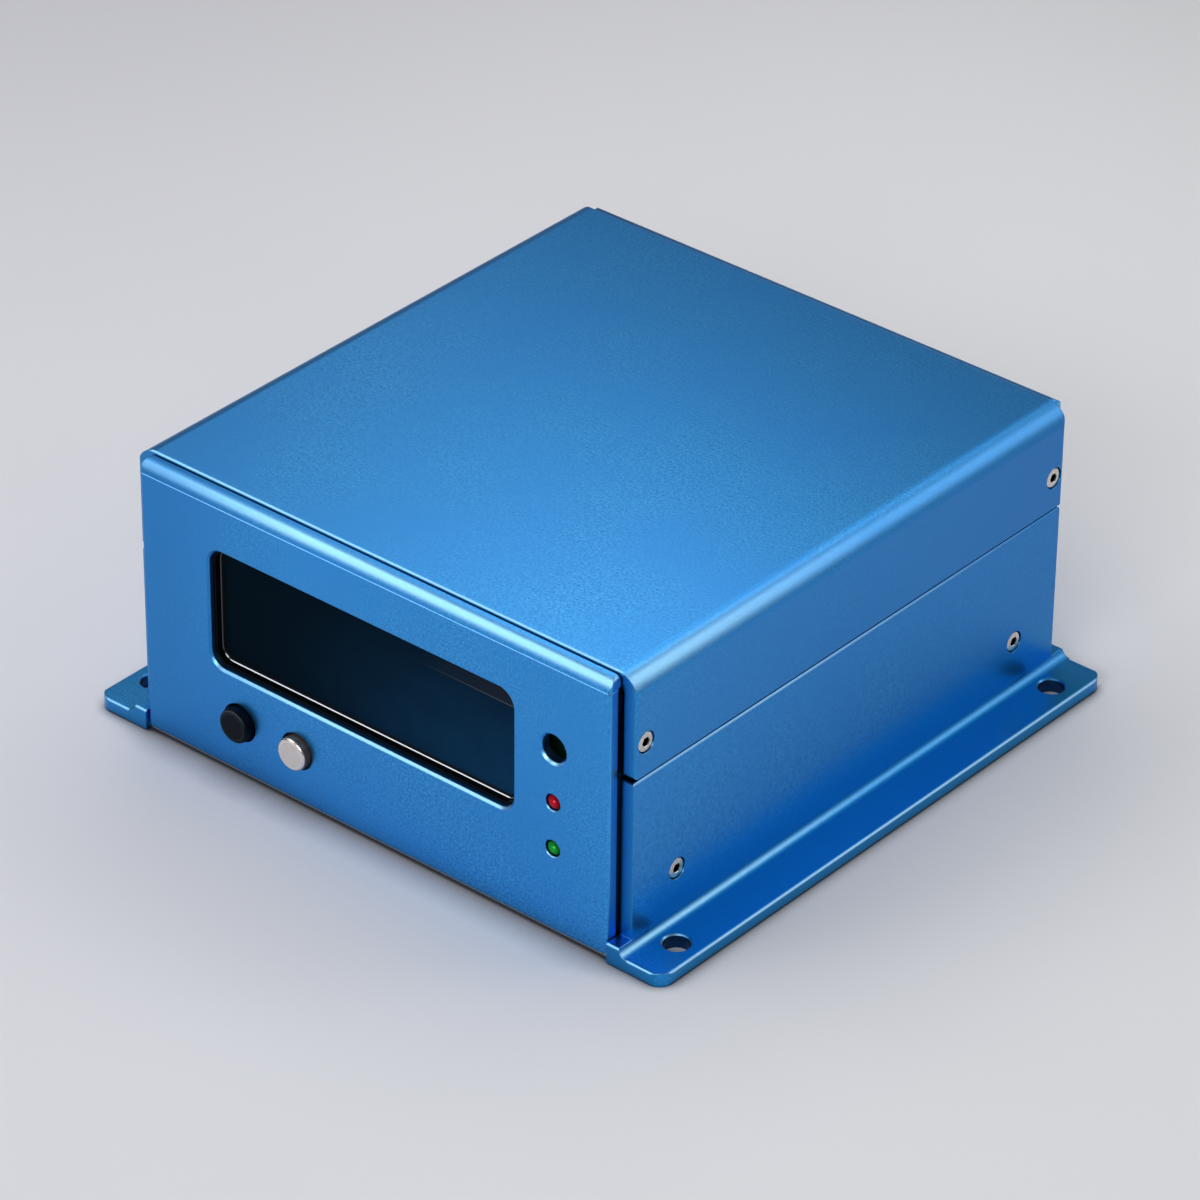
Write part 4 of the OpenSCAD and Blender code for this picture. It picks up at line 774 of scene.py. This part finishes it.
case_head_r = 1.8
crown = 1.118
shade_top = 0.97
shade_blend = 0.06 * MM
case_screw = socket_screw(
    crest=1.0, pitch=0.4, length=4.0, head_r=case_head_r, head_h=1.2, key=1.5, floor=0.4,
    sphere=12.0, round_off=0.25,
)
for sheet in ("cover", "bracket"):
    screws_low, screws_high = corners(sheet + "_screws") / MM
    seat = screws_high - (crown, case_head_r, 0)
    seat_z = (screws_low[2] + screws_high[2]) / 2
    feet = [(side * seat[0], end * seat[1], seat_z) for side in (-1, 1) for end in (-1, 1)]
    # Steel with painted shade: the turned steel again, painted dark in the socket and under the rim.
    face = (seat[0] + shade_top) * MM
    socket_shaded, _, shader, place = copied(steel, "bright_turned_steel_oiled_" + sheet)
    across = add(socket_shaded, "SeparateXYZ", {0: place}).outputs[0]
    outward = add(socket_shaded, "Math", {0: across}, operation="ABSOLUTE").outputs[0]
    # Painted shade: dark below the head's top, in the socket and under the rim.
    shade_share = add(socket_shaded, "MapRange", {0: outward, 1: face, 2: face - shade_blend}).outputs[0]
    bare = shader.inputs["Base Color"].links[0].from_socket
    dark = add(socket_shaded, "Mix", {0: shade_share, 6: bare, 7: linear("#17130f")}, data_type="RGBA")
    feed(socket_shaded, shader, {"Base Color": dark.outputs[2]})
    screws = [stand(case_screw, foot, (np.sign(foot[0]), 0, 0)) for foot in feet]
    build(sheet + "_socket_screws", screws, socket_shaded, "bright_steel", sheet + "_screws")

# Board screws: four down through the main board and seven forward through the front boards.
# M1.6 socket screws in steel, like the case screws but smaller, driven into the standoffs.

board_screw = socket_screw(
    crest=0.8, pitch=0.35, length=3.6, head_r=1.5, head_h=1.2, key=0.9, floor=0.5,
    sphere=3.2, round_off=0.2,
)
front_rim = 2.0
main_rim = 3.5
beside_lamps = 3.05
display_low, display_high = corners("display_board") / MM
front_low, front_high = corners("front_board") / MM
main_low, main_high = corners("main_board") / MM
display_x, _, display_z = np.transpose([display_low + front_rim, display_high - front_rim])
front_x, _, front_z = np.transpose([front_low + front_rim, front_high - front_rim])
main_x, main_y, _ = np.transpose([main_low + main_rim, main_high - main_rim])
forward_feet = [(x, front_high[1], z) for x in display_x for z in display_z]
forward_feet += [(x, front_high[1], front_z[0]) for x in front_x]
forward_feet += [(front_high[0] - beside_lamps, front_high[1], front_z[1])]
down_feet = [(x, y, main_high[2]) for x in main_x for y in main_y]
screws = [stand(board_screw, foot, (0, 1, 0)) for foot in forward_feet]
screws += [stand(board_screw, foot, (0, 0, 1)) for foot in down_feet]
build("board_socket_screws", screws, steel, "bright_steel", "board_screws")

# Studio: a pale floor under softboxes, with the camera where the photograph was taken from.
# Angles and distance come from a fit of the case's corners to the photograph's 1200 pixel frame.

frame_pixels = 1200
focal_pixels = 6083.5
azimuth, elevation, roll = np.radians([40.18, 32.38, 0.59])
camera_distance = 1.00795
aim = np.array([0.0, -2.5, 22.0]) * MM
pan_right = 1.01 * MM
pan_up = -1.44 * MM

level_right = np.array([np.cos(azimuth), np.sin(azimuth), 0.0])
level_back = np.array([np.sin(azimuth), -np.cos(azimuth), 0.0])
back = level_back * np.cos(elevation) + np.array([0.0, 0.0, np.sin(elevation)])
level_up = np.cross(back, level_right)
right = level_right * np.cos(roll) + level_up * np.sin(roll)
up = level_up * np.cos(roll) - level_right * np.sin(roll)
station = aim + back * camera_distance + right * pan_right + up * pan_up

camera_data = bpy.data.cameras.new("camera")
camera_data.sensor_width = 36.0
camera_data.lens = focal_pixels * camera_data.sensor_width / frame_pixels
camera = bpy.data.objects.new("camera", camera_data)
attitude = np.column_stack([right, up, back, station])
camera.matrix_world = Matrix(np.vstack([attitude, [0, 0, 0, 1]]).tolist())
bpy.context.scene.collection.objects.link(camera)
bpy.context.scene.camera = camera

# Pale grey paper: matt and nearly even, with painted light making it lighter to the right, and a painted
# shadow where the feet and the panel stand close over it.
floor_half = 4.0
paper_patch = 60 * MM
paper_blend = 110 * MM
shadow_reach = 10 * MM
foot_from = 1.0 * MM
foot_full = 0.4 * MM
panel_from = 1.5 * MM
panel_full = 0.9 * MM
panel_face = corners("front_panel")[0][1]
floor_mesh = bpy.data.meshes.new("floor")
floor_corners = np.array([[-1, -1, 0], [1, -1, 0], [1, 1, 0], [-1, 1, 0]]) * floor_half
floor_mesh.from_pydata(floor_corners.tolist(), [], [(0, 1, 2, 3)])
floor = bpy.data.objects.new("floor", floor_mesh)
bpy.context.scene.collection.objects.link(floor)
paper, shader, place = new_material("pale_grey_paper")
fibre = add(paper, "TexNoise", {"Vector": place, "Scale": 1 / paper_patch, "Detail": 2.0}).outputs[0]
# Painted light: the paper is lighter to the right.
rightward = add(paper, "VectorMath", {0: place, 1: level_right}, operation="DOT_PRODUCT").outputs["Value"]
to_right = {0: rightward, 1: -paper_blend, 2: paper_blend}
shade = add(paper, "MapRange", to_right, interpolation_type="SMOOTHSTEP").outputs[0]
near = add(paper, "Mix", {0: fibre, 6: linear("#e9e9ee"), 7: linear("#ebebf0")}, data_type="RGBA")
far = add(paper, "Mix", {0: fibre, 6: linear("#fbfbfd"), 7: linear("#fdfdff")}, data_type="RGBA")
sheet = add(paper, "Mix", {0: shade, 6: near.outputs[2], 7: far.outputs[2]}, data_type="RGBA")
# Painted shadow: darker close round the feet and in front of the panel, by ambient occlusion.
contact_shadow = add(paper, "AmbientOcclusion", {"Distance": shadow_reach}, samples=8).outputs["AO"]
across, rearward, _ = add(paper, "SeparateXYZ", {0: place}).outputs
aside = add(paper, "Math", {0: across}, operation="ABSOLUTE").outputs[0]
past_feet = add(paper, "MapRange", {0: aside, 1: foot_side - foot_from, 2: foot_side - foot_full}).outputs[0]
before_panel = {0: rearward, 1: panel_face + panel_from, 2: panel_face + panel_full}
past_panel = add(paper, "MapRange", before_panel).outputs[0]
around = add(paper, "Math", {0: past_feet, 1: past_panel}, operation="MAXIMUM").outputs[0]
under = add(paper, "Math", {0: 1.0, 1: around}, operation="SUBTRACT").outputs[0]
open_sky = add(paper, "MapRange", {0: contact_shadow, 1: 0.3, 2: 0.85}).outputs[0]
lit = add(paper, "Math", {0: open_sky, 1: under}, operation="MAXIMUM").outputs[0]
shadowed = add(paper, "Mix", {0: lit, 6: linear("#3a3e47"), 7: sheet.outputs[2]}, data_type="RGBA")
feed(paper, shader, {"Base Color": shadowed.outputs[2], "Roughness": 0.9, "Specular IOR Level": 0.1})
floor_mesh.materials.append(paper)


def softbox(name, place_mm, width_mm, length_mm, radiance, along=(0, 0, 1), look_mm=(0, 0, 20)):
    """An area light whose length lies along a direction.
    A sheet of area A and power P shines at P / (pi A)."""
    data = bpy.data.lights.new(name, "AREA")
    data.shape = "RECTANGLE"
    data.size = width_mm * MM
    data.size_y = length_mm * MM
    data.energy = radiance * np.pi * data.size * data.size_y
    light = bpy.data.objects.new(name, data)
    away = (Vector(place_mm) - Vector(look_mm)).normalized()
    across = Vector(along).cross(away).normalized()
    turned = Matrix([across, away.cross(across), away]).transposed().to_4x4()
    light.matrix_world = Matrix.Translation(Vector(place_mm) * MM) @ turned
    light.visible_camera = False
    bpy.context.scene.collection.objects.link(light)


softbox("overhead", (-60, 100, 320), 260, 260, 1.2, (0, 1, 0))
softbox("behind", (-220, 190, 330), 210, 165, 0.6, (0, 1, 0))
softbox("rear", (110, 300, 370), 340, 200, 0.52, (0, 0.8, -0.6), (50, -10, 50))
softbox("high", (0, 0, 900), 600, 600, 0.18, (0, 1, 0))
softbox("left_front", (-240, -320, 350), 270, 440, 1.55, (0, 0.775, 0.63), (0, -57, 50))
softbox("right_rear", (477, 423, 374), 283, 740, 0.65, (-0.47, 0, 0.88), (53, -30, 50))
softbox("right_core", (453, 423, 403), 283, 330, 0.6, (-0.47, 0, 0.88), (53, -30, 50))
softbox("low_left", (-310, -650, 140), 420, 230, 0.75, (0, 0, 1), (0, -57, 50))
softbox("front", (220, -545, 350), 400, 250, 4.4)
softbox("left", (-450, -60, 380), 350, 300, 1.05)

world = bpy.data.worlds.new("studio")
world.use_nodes = True
world.node_tree.nodes["Background"].inputs["Color"].default_value = linear("#6d6e71")
bpy.context.scene.world = world
bpy.context.scene.view_settings.view_transform = "Standard"
